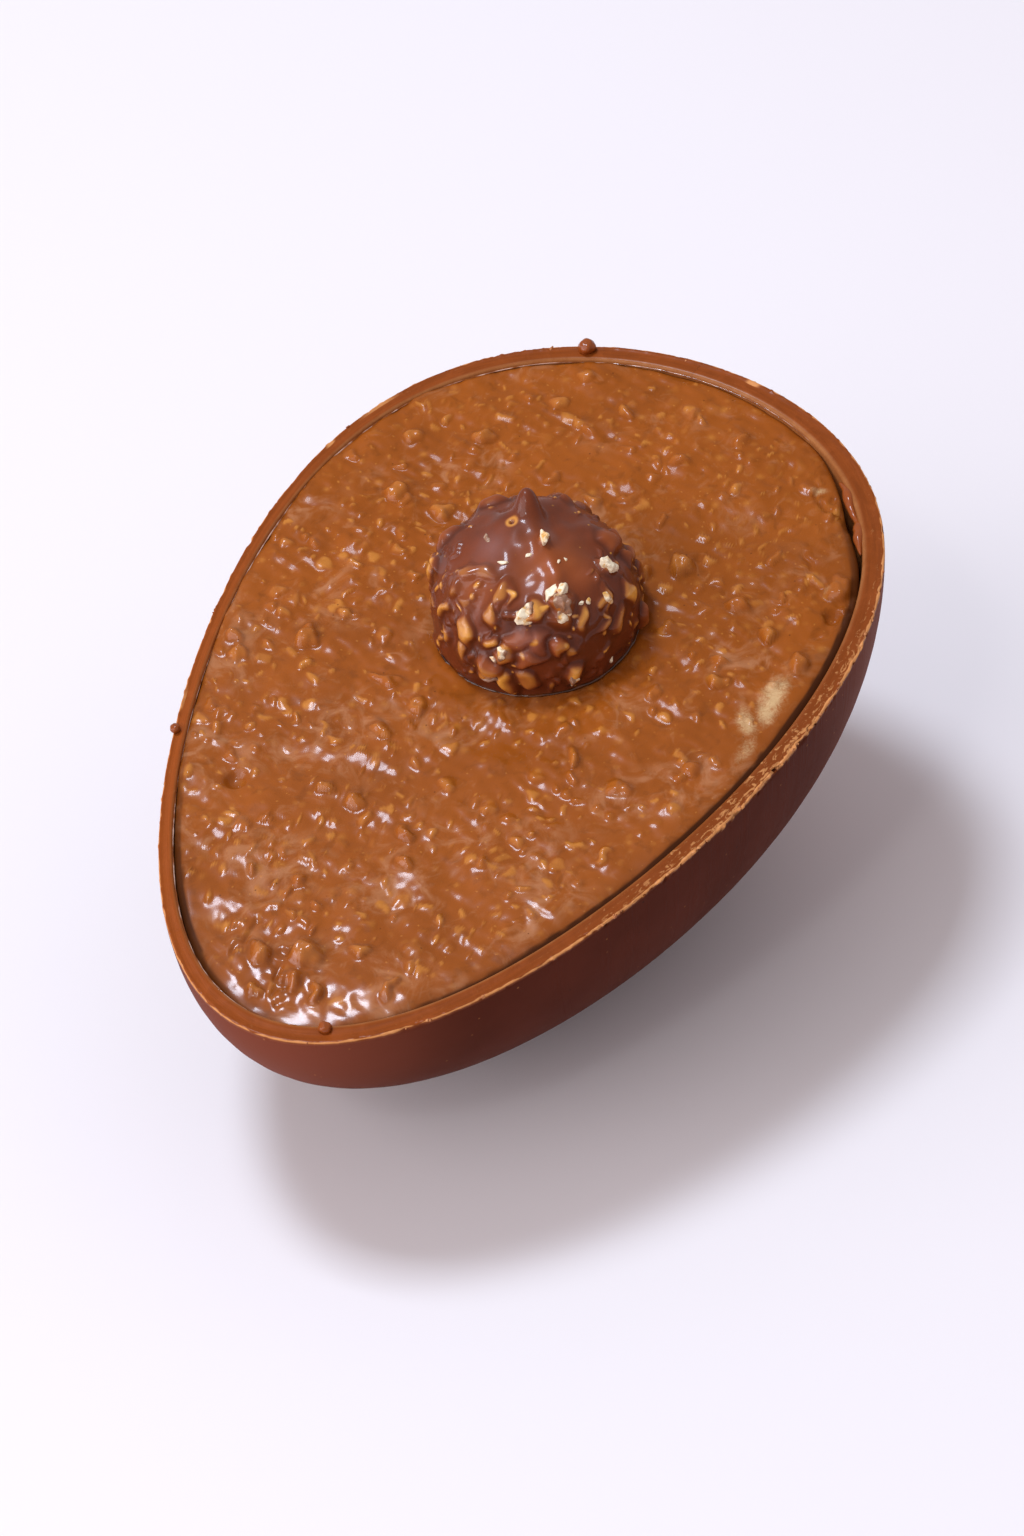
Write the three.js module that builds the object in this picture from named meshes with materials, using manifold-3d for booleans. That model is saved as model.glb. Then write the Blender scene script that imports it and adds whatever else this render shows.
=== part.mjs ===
// Half of a moulded chocolate egg, filled with nut cream and topped with a praline ball.
//
// Units are millimetres. +Z is up and +X runs along the egg towards its wide end.
// The origin is the centre of the small flat on which the half egg rests.
// Inside the tilted group, z = 0 is the plane of the egg's rim.

import * as THREE from 'three';
import { mergeVertices } from 'three/addons/utils/BufferGeometryUtils.js';
import Module from 'manifold-3d';

const wasm = await Module();
wasm.setup();
const { Manifold, Mesh: SolidMesh } = wasm;

// ---------------------------------------------------------------- driving dimensions

const HALF_LENGTH = 68; // half of the egg's long axis
const HALF_WIDTH = 43.4; // half width of the egg before its taper
const TAPER = 0.258; // how much fuller the wide end is than the narrow one
const TAPER_BEND = 0.081; // second order of the same taper
const DEPTH_FACTOR = 1.157; // depth of the half egg over its half width
const REST_PITCH = 10.1; // degrees by which the narrow end hangs lower
const REST_FLAT_DEPTH = 0.4; // what the resting flat takes off the round bottom

const WALL = 2.4; // mean thickness of the shell's sides
const END_EXTRA = 0.65; // the shell is thicker by this at both ends
const HOLLOW_SHIFT = 0.5; // the hollow sits off centre towards +Y, so that side is thinner
const GAP = 0.3; // clearance between neighbouring pieces

const CREAM_LEVEL = -0.75; // the filling's surface below the rim plane
const CREAM_SLOPE = 0.012; // rise of that surface towards +Y
const CREAM_SHOULDER = 1.9; // width of the rounded edge along the wall
const BROAD_SHOULDER = 2.6; // extra width of that edge round the narrow end
const BROAD_TURN = 190; // middle of the broad stretch, in degrees round the outline
const BROAD_SPAN = 44;
const SHALLOW_CREVICE = 0.25; // how far the edge drops at the wall on the far side
const DEEP_CREVICE = 1.2; // how far it drops on the near side
const FAR_TURN = 40; // middle of the far side, in degrees round the outline

const PRALINE_RADIUS = 15;
const PRALINE_X = 12.5;
const PRALINE_Y = -0.3;
const PRALINE_Z = 2.9;

const AROUND = 72; // facets round the egg
const RING_STEP = 10; // degrees between rings of the bowl
const BALL_DETAIL = 11; // splits of each icosahedron edge on the praline

// Beads of spilt chocolate on the rim: turn of the outline in degrees, share of the way
// from the outer to the inner edge, radius, rise above the rim.
const RIM_BEADS = [
  [17.5, 0.3, 1.3, 0.7],
  [113, 0.15, 0.75, 0.5],
  [194, 0.75, 0.9, 0.35],
];

// The cream has shrunk from the wall here, and a string of chocolate hangs in the gap.
const SHRINK_TURN = 317; // degrees round the outline
const SHRINK_SPAN = 17;
const SHRINK_WIDTH = 1.4;
const STRING_SPAN = 11;
const STRING_BEADS = 6;
const STRING_RADIUS = 0.8;
const STRING_DEPTH = 1;

// Largest lumps of nut in the cream: x, y, half length, half width, rise, turn in degrees.
const CREAM_LUMPS = [
  [-53.5, 0.5, 2.8, 2.4, 2.2, 70],
  [-56, 6, 2.5, 2.0, 2.0, 40],
  [-58, 0, 2.2, 1.6, 1.6, 35],
  [-58.5, -3.5, 1.7, 1.0, 1.2, 30],
  [-61, 4.5, 1.7, 1.2, 1.0, 75],
  [-54, -12, 1.9, 1.2, 1.0, 20],
  [-50, -5.5, 1.7, 1.2, 0.9, 105],
  [-43.5, 14.5, 1.5, 1.3, 1.1, 45],
  [-43, 7.5, 1.7, 1.4, 0.9, 80],
  [-34.5, -4, 1.6, 1.3, 1.0, 75],
  [-30, -1.5, 2.0, 1.5, 1.4, 85],
  [-27.5, 7.5, 1.7, 1.5, 1.2, 45],
  [-27, 12, 1.4, 1.2, 1.0, 65],
  [-15, 10, 1.9, 1.5, 1.1, 85],
  [-9, 7.5, 1.6, 1.2, 1.1, 35],
  [-6, 14, 2.7, 1.2, 0.9, 105],
  [-3.5, 28, 2.8, 2.0, 1.7, 35],
  [-10, 35.5, 1.5, 1.3, 1.0, 55],
  [-7.5, 37.5, 1.7, 1.4, 1.0, 60],
  [-8.5, -16.5, 2.0, 1.1, 1.1, 35],
  [-11.5, -24.5, 2.2, 1.5, 0.8, 110],
  [11.5, -28.5, 1.5, 1.4, 1.2, 45],
  [15, -27.5, 1.8, 1.2, 1.1, 110],
  [18, -18, 1.7, 1.5, 0.9, 95],
  [19, -37.5, 2.4, 1.6, 1.5, 25],
  [22.5, -31.5, 1.6, 1.5, 1.3, 30],
  [25.5, -25.5, 2.1, 1.7, 1.2, 105],
  [26.5, -11, 1.6, 1.1, 1.4, 30],
  [29.5, -15, 3.1, 2.0, 2.0, 25],
  [34.5, -37, 2.6, 1.9, 0.9, 10],
  [48.5, -5.5, 1.5, 1.3, 0.9, 105],
  [55, 6.5, 1.5, 1.3, 1.0, 100],
  [36.5, 2.5, 2.0, 1.5, 0.9, 30],
  [52.5, 16, 1.7, 1.2, 0.8, 80],
  [59, 15, 1.7, 1.4, 0.7, 60],
  [42, 23, 2.1, 1.9, 1.3, 80],
  [38, 33, 1.8, 1.5, 0.9, 45],
  [26, 22, 2.1, 1.7, 1.0, 100],
  [26.5, 30, 2.0, 1.8, 1.3, 85],
];
const PITS = [[-30.5, 24.5, 1.4], [29.5, -38, 1.2]];

// Smaller lumps follow one even sequence, largest first.
const SMALL_LUMPS = 50;
const FINE_LUMP = 2.5; // half length from which a lump is faceted more finely
const SMALL_LUMP_LARGE = 1.5;
const SMALL_LUMP_SMALL = 0.9;

// Nuts under the praline's coat: azimuth, elevation, half length, half width, rise, lean.
const PRALINE_NUTS = [
  [-131, 40, 3.2, 2.2, 1.7, 12],
  [-157, 38, 2.6, 1.5, 1.3, 80],
  [-148, 42, 1.9, 1.5, 1.2, 20],
  [-82, 42, 2.0, 1.3, 1.2, 30],
  [-99, 31, 2.1, 1.0, 0.8, 20],
  [-81, 21, 2.0, 1.0, 0.8, 10],
  [-88, 80, 2.0, 1.1, 0.9, 65],
  [144, 50, 2.3, 1.7, 1.0, 40],
  [158, 55, 2.2, 1.4, 0.8, 70],
  [147, 38, 1.8, 1.5, 0.8, 0],
  [165, 23, 3.2, 1.5, 1.2, -25],
  [180, 36, 2.4, 1.3, 0.9, -10],
  [-178, 50, 2.2, 1.2, 0.7, 0],
  [-160, 26, 2.4, 2.0, 1.3, 40],
  [-150, 25, 1.9, 1.9, 1.1, 0],
  [-177, 22, 1.8, 1.2, 0.9, 60],
  [-169, 17, 2.1, 1.3, 1.3, 50],
  [-157, 14, 2.2, 1.6, 1.4, 70],
  [-138, 18, 1.9, 1.4, 1.4, 40],
  [-178, 5, 2.4, 2.1, 1.7, 0],
  [-168, -4, 2.4, 1.7, 1.1, 0],
  [-157, -1, 1.8, 1.5, 1.0, 0],
  [-133, -1, 2.2, 1.5, 1.2, 10],
  [-121, 29, 2.5, 1.0, 0.7, 25],
  [-98, 14, 2.2, 1.4, 0.9, 60],
  [-110, 18, 2.2, 0.9, 0.7, 80],
  [164, 8, 2.1, 1.3, 0.8, 10],
  [150, 10, 1.9, 1.3, 0.8, -20],
  [-74, -6, 2.0, 1.7, 1.7, 30],
  [144, 22, 2.4, 1.0, 0.9, 5],
];
const HIDDEN_NUTS = 26; // evenly spread over the far side of the praline
const FAR_SIDE_TURN = 35; // middle of that side in degrees
const FAR_SIDE_SPAN = 190;

const PEAK_AZIMUTH = 25;
const PEAK_ELEVATION = 68;
const PEAK_RISE = 2.9;
const PEAK_SPREAD = 6.5; // degrees
const SWELL_AZIMUTH = 50; // a broad low swell beside the peak
const SWELL_ELEVATION = 66;
const SWELL_RISE = 1.1;
const SWELL_SPREAD = 17; // degrees
const CROWN_DROP = 1.8; // the coat is thinner on top of the ball
const RIDGE_RISE = 0.7;
const RIDGE_SPREAD = 7; // degrees
const RIDGE_AZIMUTH = -124;
const RIDGE_ELEVATION = 52;

// ---------------------------------------------------------------- small helpers

const radians = THREE.MathUtils.degToRad;
const { lerp, smoothstep } = THREE.MathUtils;

// A repeatable draw between 0 and 1 for a whole number and a channel.
function draw(index, channel) {
  const wave = Math.sin(index * 12.9898 + channel * 78.233) * 43758.5453;
  return wave - Math.floor(wave);
}

function finish(color, roughness) {
  return new THREE.MeshStandardMaterial({ color, roughness, metalness: 0 });
}

function toSolid(geometry) {
  geometry.deleteAttribute('normal');
  geometry.deleteAttribute('uv');
  const merged = mergeVertices(geometry, 1e-4);
  return new Manifold(new SolidMesh({
    numProp: 3,
    vertProperties: new Float32Array(merged.attributes.position.array),
    triVerts: new Uint32Array(merged.index.array),
  }));
}

function toGeometry(solid) {
  const { vertProperties, triVerts } = solid.getMesh();
  const geometry = new THREE.BufferGeometry();
  geometry.setAttribute('position', new THREE.BufferAttribute(vertProperties, 3));
  geometry.setIndex(new THREE.BufferAttribute(triVerts, 1));
  geometry.computeVertexNormals();
  return geometry;
}

// Closed skin through a first pole, rings of equal length, and a last pole.
// The rings turn anticlockwise seen from above and run from the outside to the inside.
function loft(firstPole, rings, lastPole) {
  const points = [firstPole, ...rings.flat(), lastPole];
  const count = rings[0].length;
  const last = points.length - 1;
  const index = [];
  for (let i = 0; i < count; i += 1) {
    const next = (i + 1) % count;
    index.push(0, 1 + next, 1 + i);
    for (let ring = 0; ring + 1 < rings.length; ring += 1) {
      const low = 1 + ring * count;
      const high = low + count;
      index.push(low + i, low + next, high + next);
      index.push(low + i, high + next, high + i);
    }
    const top = last - count;
    index.push(top + i, top + next, last);
  }
  const geometry = new THREE.BufferGeometry().setFromPoints(points);
  geometry.setIndex(index);
  return geometry;
}

// ---------------------------------------------------------------- the egg's form

// Half width of the plain egg at a distance x from the middle of its length.
function eggHalfWidth(x) {
  const c = THREE.MathUtils.clamp(x / HALF_LENGTH, -1, 1);
  return HALF_WIDTH * Math.sqrt(1 - c * c) * (1 + TAPER * c + TAPER_BEND * c * c);
}

const WIDEST = Math.max(...Array.from({ length: 136 }, (_, i) => eggHalfWidth(i - HALF_LENGTH)));

// The same egg with its skin moved inwards. Inner skins are also shorter and shifted.
function egg(inset) {
  const inner = inset > 0 ? 1 : 0;
  return {
    stretch: (HALF_LENGTH - inset - END_EXTRA * inner) / HALF_LENGTH,
    widen: (WIDEST - inset) / WIDEST,
    y: HOLLOW_SHIFT * inner,
  };
}

// Point of the egg's outline in the rim plane at a turn from the wide end.
function outlinePoint(skin, turn) {
  const x = HALF_LENGTH * Math.cos(turn);
  const side = Math.sign(Math.sin(turn));
  const y = skin.y + skin.widen * side * eggHalfWidth(x);
  return new THREE.Vector3(skin.stretch * x, y, 0);
}

// Height of the bowl below a point of the plan: the egg is an ellipse across its length.
function bowlHeight(skin, x, y) {
  const width = skin.widen * eggHalfWidth(x / skin.stretch);
  const across = y - skin.y;
  return -DEPTH_FACTOR * Math.sqrt(Math.max(width * width - across * across, 0));
}

const POLE = new THREE.Vector3(PRALINE_X, PRALINE_Y, 0);
const turns = Array.from({ length: AROUND }, (_, i) => (2 * Math.PI * i) / AROUND);

// Ring of the bowl at a slope angle: 0 degrees is the rim and 90 degrees the bottom.
function bowlRing(skin, slope) {
  const share = Math.cos(radians(slope));
  return turns.map((turn) => {
    const point = POLE.clone().lerp(outlinePoint(skin, turn), share);
    return point.setZ(bowlHeight(skin, point.x, point.y));
  });
}

function bowlPole(skin) {
  return new THREE.Vector3(POLE.x, POLE.y, bowlHeight(skin, POLE.x, POLE.y));
}

function slopesFrom(first) {
  const slopes = [first];
  for (let slope = RING_STEP * 1.5; slope < 90; slope += RING_STEP) slopes.push(slope);
  return slopes;
}

const outerSkin = egg(0);
const hollowSkin = egg(WALL);
const creamSkin = egg(WALL + GAP);

// ---------------------------------------------------------------- shell

// Ring of the rim: a share of the way from the outer to the inner edge, at a height.
function rimRing(share, height, roughness) {
  return turns.map((turn, i) => {
    const point = outlinePoint(outerSkin, turn).lerp(outlinePoint(hollowSkin, turn), share);
    const wear = roughness * (draw(i, share) - 0.5);
    return point.setZ(height + wear);
  });
}

function rimPoint(degrees, share, height) {
  const turn = radians(degrees);
  const point = outlinePoint(outerSkin, turn).lerp(outlinePoint(hollowSkin, turn), share);
  return point.setZ(height);
}

function bead(center, radius, flatness, detail) {
  const ball = new THREE.IcosahedronGeometry(radius, detail);
  ball.scale(1, 1, flatness);
  ball.translate(center.x, center.y, center.z);
  return toSolid(ball);
}

// Wavy string of chocolate that clings to the inner wall beside the shrunken cream.
function hangingString() {
  return Array.from({ length: STRING_BEADS }, (_, i) => {
    const along = i / (STRING_BEADS - 1) - 0.5;
    const depth = STRING_DEPTH + 0.3 * Math.sin(i * 2.3);
    const turn = SHRINK_TURN + along * STRING_SPAN;
    return bead(rimPoint(turn, 1.08, -depth), STRING_RADIUS, 1.3, 0);
  });
}

function shellSolid() {
  const rings = [
    ...slopesFrom(5).reverse().map((slope) => bowlRing(outerSkin, slope)),
    rimRing(0, -0.9, 0),
    rimRing(0, -0.15, 0.2),
    rimRing(0.12, 0.15, 0.25),
    rimRing(0.35, 0, 0.1),
    rimRing(0.85, -0.05, 0.05),
    rimRing(1, -0.5, 0),
    ...slopesFrom(5).map((slope) => bowlRing(hollowSkin, slope)),
  ];
  const bowl = toSolid(loft(bowlPole(outerSkin), rings, bowlPole(hollowSkin)));
  const beads = RIM_BEADS.map(([turn, share, radius, rise]) => (
    bead(rimPoint(turn, share, rise), radius, 0.85, 1)));
  return Manifold.union([bowl, ...beads, ...hangingString()]);
}

// ---------------------------------------------------------------- filling

// Soft waves of the poured cream, faded out towards the praline.
function creamWaves(x, y) {
  const long = 0.22 * Math.sin(0.19 * x + 0.11 * y + 0.8) * Math.cos(0.23 * y - 0.05 * x);
  const short = 0.13 * Math.sin(0.47 * x - 0.31 * y) * Math.sin(0.41 * y + 0.17 * x + 1.1);
  return long + short;
}

function creamHeight(x, y) {
  return CREAM_LEVEL + CREAM_SLOPE * y + creamWaves(x, y);
}

// Bell of height 1 over a stretch of the outline, given by its middle and its span.
function bellOnOutline(turn, middle, span) {
  const away = (THREE.MathUtils.radToDeg(turn) - middle) / (span / 2);
  return Math.exp(-away * away);
}

// Extra gap between cream and wall where the cream has shrunk.
function shrinkAt(turn) {
  return SHRINK_WIDTH * bellOnOutline(turn, SHRINK_TURN, SHRINK_SPAN);
}

function shoulderWidth(turn) {
  return CREAM_SHOULDER + BROAD_SHOULDER * bellOnOutline(turn, BROAD_TURN, BROAD_SPAN);
}

// Drop of the cream's edge at the wall, from the far side's thin line to the near side.
function creviceDepth(turn) {
  const nearness = -Math.cos(turn - radians(FAR_TURN));
  return lerp(SHALLOW_CREVICE, DEEP_CREVICE, smoothstep(nearness, -0.35, 0.45));
}

// Ring of the cream's rounded edge, at shares of that edge's width and of its drop.
function shoulderRing(widthShare, dropShare) {
  return turns.map((turn) => {
    const edge = outlinePoint(creamSkin, turn);
    const reach = edge.distanceTo(POLE);
    const inset = widthShare * shoulderWidth(turn) + shrinkAt(turn);
    const point = edge.lerp(POLE, inset / reach);
    return point.setZ(creamHeight(point.x, point.y) - dropShare * creviceDepth(turn));
  });
}

// Ring of the cream's surface between its edge and the praline's pocket.
function surfaceRing(share, pocketReach) {
  return turns.map((turn) => {
    const edge = outlinePoint(creamSkin, turn);
    const reach = edge.distanceTo(POLE) - shoulderWidth(turn) - shrinkAt(turn);
    const radius = lerp(reach, pocketReach, share);
    const point = POLE.clone().lerp(edge, radius / edge.distanceTo(POLE));
    return point.setZ(creamHeight(point.x, point.y));
  });
}

const POCKET_RADIUS = PRALINE_RADIUS + GAP;
const POCKET_LIP = THREE.MathUtils.radToDeg(Math.asin((PRALINE_Z - CREAM_LEVEL) / POCKET_RADIUS));

// Ring of the round pocket that holds the praline, at an angle below the ball's equator.
function pocketRing(angle) {
  const reach = POCKET_RADIUS * Math.cos(radians(angle));
  const height = PRALINE_Z - POCKET_RADIUS * Math.sin(radians(angle));
  return turns.map((turn) => {
    const edge = outlinePoint(creamSkin, turn);
    return POLE.clone().lerp(edge, reach / edge.distanceTo(POLE)).setZ(height);
  });
}

function creamBody() {
  const lipReach = POCKET_RADIUS * Math.cos(radians(POCKET_LIP)) + 0.2;
  const rings = [
    ...slopesFrom(5).reverse().map((slope) => bowlRing(creamSkin, slope)),
    shoulderRing(0, 1),
    shoulderRing(0.45, 0.3),
    ...[0, 0.15, 0.3, 0.45, 0.6, 0.75, 0.88].map((share) => surfaceRing(share, lipReach)),
    ...[0, 0.25, 0.5, 0.75].map((share) => pocketRing(lerp(POCKET_LIP + 1, 90, share))),
  ];
  const pocketPole = POLE.clone().setZ(PRALINE_Z - POCKET_RADIUS);
  return toSolid(loft(bowlPole(creamSkin), rings, pocketPole));
}

// Faceted piece of chopped nut that stands out of the cream by its rise.
function lump(seed, [x, y, halfLength, halfWidth, rise, turn], detail) {
  const height = 0.7 * halfWidth + 0.3 * rise;
  const stone = new THREE.IcosahedronGeometry(1, detail);
  const spots = stone.attributes.position;
  const spot = new THREE.Vector3();
  for (let i = 0; i < spots.count; i += 1) {
    spot.fromBufferAttribute(spots, i);
    const bulge = Math.sin(3.1 * spot.x + seed) * Math.cos(2.7 * spot.y - seed);
    spot.multiplyScalar(1 + 0.12 * bulge);
    spots.setXYZ(i, spot.x, spot.y, spot.z);
  }
  stone.scale(halfLength, halfWidth, height);
  stone.rotateZ(radians(turn));
  stone.translate(x, y, creamHeight(x, y) + rise - height);
  return toSolid(stone);
}

// Even sequence of plan positions over the cream, clear of the wall and the praline.
function* scatter() {
  for (let n = 1; ; n += 1) {
    const x = HALF_LENGTH * (2 * ((0.5 + n * 0.7548776662) % 1) - 1);
    const y = WIDEST * (2 * ((0.5 + n * 0.5698402910) % 1) - 1);
    const inWall = eggHalfWidth(x / 0.9) * 0.9 - Math.abs(y - HOLLOW_SHIFT);
    const fromPraline = Math.hypot(x - PRALINE_X, y - PRALINE_Y) - PRALINE_RADIUS;
    const fromLumps = Math.min(...CREAM_LUMPS.map((big) => (
      Math.hypot(x - big[0], y - big[1]) - big[2])));
    if (inWall > 2.5 && fromPraline > 3 && fromLumps > 1.2) yield [n, x, y];
  }
}

function smallLumps() {
  const places = scatter();
  return Array.from({ length: SMALL_LUMPS }, (_, i) => {
    const [n, x, y] = places.next().value;
    const size = lerp(SMALL_LUMP_LARGE, SMALL_LUMP_SMALL, i / SMALL_LUMPS);
    const narrow = lerp(0.6, 0.95, draw(n, 1));
    const rise = size * lerp(0.35, 0.7, draw(n, 2));
    return lump(n, [x, y, size, size * narrow, rise, 360 * draw(n, 3)], 0);
  });
}

function fillingSolid() {
  const largeLumps = CREAM_LUMPS.map((place, i) => lump(i, place, place[2] > FINE_LUMP ? 1 : 0));
  const cream = Manifold.union([creamBody(), ...largeLumps, ...smallLumps()]);
  return PITS.reduce((solid, [x, y, radius]) => {
    const pit = bead(new THREE.Vector3(x, y, creamHeight(x, y)), radius, 0.8, 0);
    return solid.subtract(pit);
  }, cream);
}

// ---------------------------------------------------------------- praline

function direction(azimuth, elevation) {
  const flat = Math.cos(radians(elevation));
  return new THREE.Vector3(
    flat * Math.cos(radians(azimuth)),
    flat * Math.sin(radians(azimuth)),
    Math.sin(radians(elevation)),
  );
}

function hiddenNuts() {
  return Array.from({ length: HIDDEN_NUTS }, (_, i) => {
    const azimuth = FAR_SIDE_TURN + FAR_SIDE_SPAN * (((0.5 + i * 0.7548776662) % 1) - 0.5);
    const elevation = 46 * ((0.5 + i * 0.5698402910) % 1) - 4;
    const size = lerp(1.7, 2.7, draw(i, 4));
    const narrow = lerp(0.5, 0.85, draw(i, 5));
    return [azimuth, elevation, size, size * narrow, 0.5 * size, 180 * draw(i, 6)];
  });
}

// Smooth mound over one nut, as a bell over an ellipse that leans from the meridian.
function nutMound(point, [azimuth, elevation, halfLength, halfWidth, rise, lean]) {
  const middle = direction(azimuth, elevation);
  if (middle.dot(point) < 0.8) return 0;
  const east = direction(azimuth + 90, 0);
  const north = new THREE.Vector3().crossVectors(middle, east);
  const u = PRALINE_RADIUS * point.dot(east);
  const v = PRALINE_RADIUS * point.dot(north);
  const cos = Math.cos(radians(lean));
  const sin = Math.sin(radians(lean));
  const along = (v * cos + u * sin) / halfLength;
  const across = (u * cos - v * sin) / halfWidth;
  return rise * Math.exp(-((along * along + across * across) ** 1.4));
}

// Distance in degrees from a direction to the arc that joins two others.
function degreesFromArc(point, from, to) {
  const span = to.clone().sub(from);
  const share = point.clone().sub(from).dot(span) / span.lengthSq();
  const nearest = from.clone().addScaledVector(span, THREE.MathUtils.clamp(share, 0, 1));
  return THREE.MathUtils.radToDeg(point.angleTo(nearest));
}

const peak = direction(PEAK_AZIMUTH, PEAK_ELEVATION);
const swellTop = direction(SWELL_AZIMUTH, SWELL_ELEVATION);
const ridgeEnd = direction(RIDGE_AZIMUTH, RIDGE_ELEVATION);

function pralineRadius(point, nuts) {
  const level = CREAM_LEVEL - PRALINE_Z;
  const bare = smoothstep(PRALINE_RADIUS * point.z - level, 0.1, 1.8);
  const crown = CROWN_DROP * smoothstep(point.z, 0.6, 0.95);
  const fromPeak = THREE.MathUtils.radToDeg(point.angleTo(peak)) / PEAK_SPREAD;
  const tip = PEAK_RISE * Math.exp(-(fromPeak ** 2));
  const fromSwell = THREE.MathUtils.radToDeg(point.angleTo(swellTop)) / SWELL_SPREAD;
  const swell = SWELL_RISE * Math.exp(-(fromSwell ** 2));
  const fromRidge = degreesFromArc(point, peak, ridgeEnd) / RIDGE_SPREAD;
  const ridge = RIDGE_RISE * Math.exp(-(fromRidge ** 2));
  const mounds = nuts.map((nut) => nutMound(point, nut));
  const nutRise = Math.hypot(...mounds);
  return PRALINE_RADIUS - crown + bare * (tip + swell + ridge + nutRise - 0.35);
}

function pralineSolid() {
  const nuts = [...PRALINE_NUTS, ...hiddenNuts()];
  const ball = new THREE.IcosahedronGeometry(1, BALL_DETAIL);
  const spots = ball.attributes.position;
  const spot = new THREE.Vector3();
  for (let i = 0; i < spots.count; i += 1) {
    spot.fromBufferAttribute(spots, i).normalize();
    spot.multiplyScalar(pralineRadius(spot, nuts));
    spots.setXYZ(i, spot.x, spot.y, spot.z);
  }
  ball.translate(PRALINE_X, PRALINE_Y, PRALINE_Z);
  return toSolid(ball);
}

// ---------------------------------------------------------------- standing the egg

// Lowest point of the tilted egg's round bottom, along its plane of symmetry.
function lowestPoint() {
  const pitch = radians(REST_PITCH);
  let lowest = { x: 0, z: 0, height: Infinity };
  for (let x = -HALF_LENGTH; x <= HALF_LENGTH; x += 0.05) {
    const z = bowlHeight(outerSkin, x, 0);
    const height = x * Math.sin(pitch) + z * Math.cos(pitch);
    if (height < lowest.height) lowest = { x, z, height };
  }
  return lowest;
}

const bottom = lowestPoint();

// Everything below the ground plane, as a block in the egg's own tilted frame.
function groundBlock() {
  const block = new THREE.BoxGeometry(200, 200, 50);
  block.translate(0, 0, bottom.height + REST_FLAT_DEPTH - 25);
  block.rotateY(radians(REST_PITCH));
  return toSolid(block);
}

const half = new THREE.Group();
half.rotation.y = -radians(REST_PITCH);
half.position.set(0, 0, -bottom.height - REST_FLAT_DEPTH);
half.position.x = -(
  bottom.x * Math.cos(radians(REST_PITCH)) - bottom.z * Math.sin(radians(REST_PITCH)));

function addPiece(name, solid, material) {
  const mesh = new THREE.Mesh(toGeometry(solid), material);
  mesh.name = name;
  half.add(mesh);
}

addPiece('shell', shellSolid().subtract(groundBlock()), finish('#6d3a28', 0.42));
addPiece('filling', fillingSolid(), finish('#a25c2e', 0.22));
addPiece('praline', pralineSolid(), finish('#5c2c20', 0.3));

const chocolateEgg = new THREE.Group();
chocolateEgg.add(half);

export default chocolateEgg;
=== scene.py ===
"""Dresses the solids of a half chocolate egg: its shell, its nut cream and the praline on top.

Shapes are worked out in millimetres in the egg's own frame, where x runs to the wide end and
z = 0 is the plane of the rim, and are then pitched and stood on the ground as the solids are.
"""

import math

import bpy
import numpy as np
from bpy.props import FloatProperty, FloatVectorProperty, IntProperty, PointerProperty
from mathutils import Matrix, Vector


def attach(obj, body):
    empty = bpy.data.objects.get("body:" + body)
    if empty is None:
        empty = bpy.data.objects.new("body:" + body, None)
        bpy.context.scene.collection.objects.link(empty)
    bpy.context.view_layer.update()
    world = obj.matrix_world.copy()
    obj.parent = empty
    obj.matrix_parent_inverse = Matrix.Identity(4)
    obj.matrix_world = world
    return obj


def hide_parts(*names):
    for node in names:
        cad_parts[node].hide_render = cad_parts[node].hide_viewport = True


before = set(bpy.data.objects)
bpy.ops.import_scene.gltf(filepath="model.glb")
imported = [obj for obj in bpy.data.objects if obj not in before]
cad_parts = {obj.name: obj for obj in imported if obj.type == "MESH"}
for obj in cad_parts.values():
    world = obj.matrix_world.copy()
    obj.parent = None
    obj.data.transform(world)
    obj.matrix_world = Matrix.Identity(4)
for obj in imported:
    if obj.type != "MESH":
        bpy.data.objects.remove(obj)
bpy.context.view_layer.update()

bl_info = {
    "name": "Half chocolate egg",
    "version": (1, 0, 0),
    "blender": (4, 5, 0),
    "location": "3D View > Sidebar > Chocolate egg",
    "description": "Builds a half chocolate egg with nut cream and a praline",
    "category": "Add Mesh",
}

MM = 0.001

# ---------------------------------------------------------------- sizes shared with the solids

# Lengths are in millimetres. A turn goes round the outline in degrees, from the wide end.
HALF_LENGTH = 68.0
HALF_WIDTH = 43.4
TAPER = 0.258
TAPER_BEND = 0.081
DEPTH_FACTOR = 1.157
REST_PITCH = math.radians(10.1)
REST_FLAT_DEPTH = 0.4
WALL = 2.4
END_EXTRA = 0.65
HOLLOW_SHIFT = 0.5
CREAM_LEVEL = -0.75
CREAM_SLOPE = 0.012
CREAM_SHOULDER = 1.9
BROAD_SHOULDER, BROAD_TURN, BROAD_SPAN = 2.6, 190.0, 44.0
SHALLOW_CREVICE, DEEP_CREVICE, FAR_TURN = 0.25, 1.2, 40.0
PRALINE_RADIUS = 15.0
PRALINE_CENTRE = np.array([12.5, -0.3, 2.9])
SHRINK_TURN, SHRINK_SPAN, SHRINK_WIDTH = 318.0, 19.0, 1.6
STRING_SPAN, STRING_DEPTH, STRING_RADIUS = 13.0, 1.0, 0.8

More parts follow.
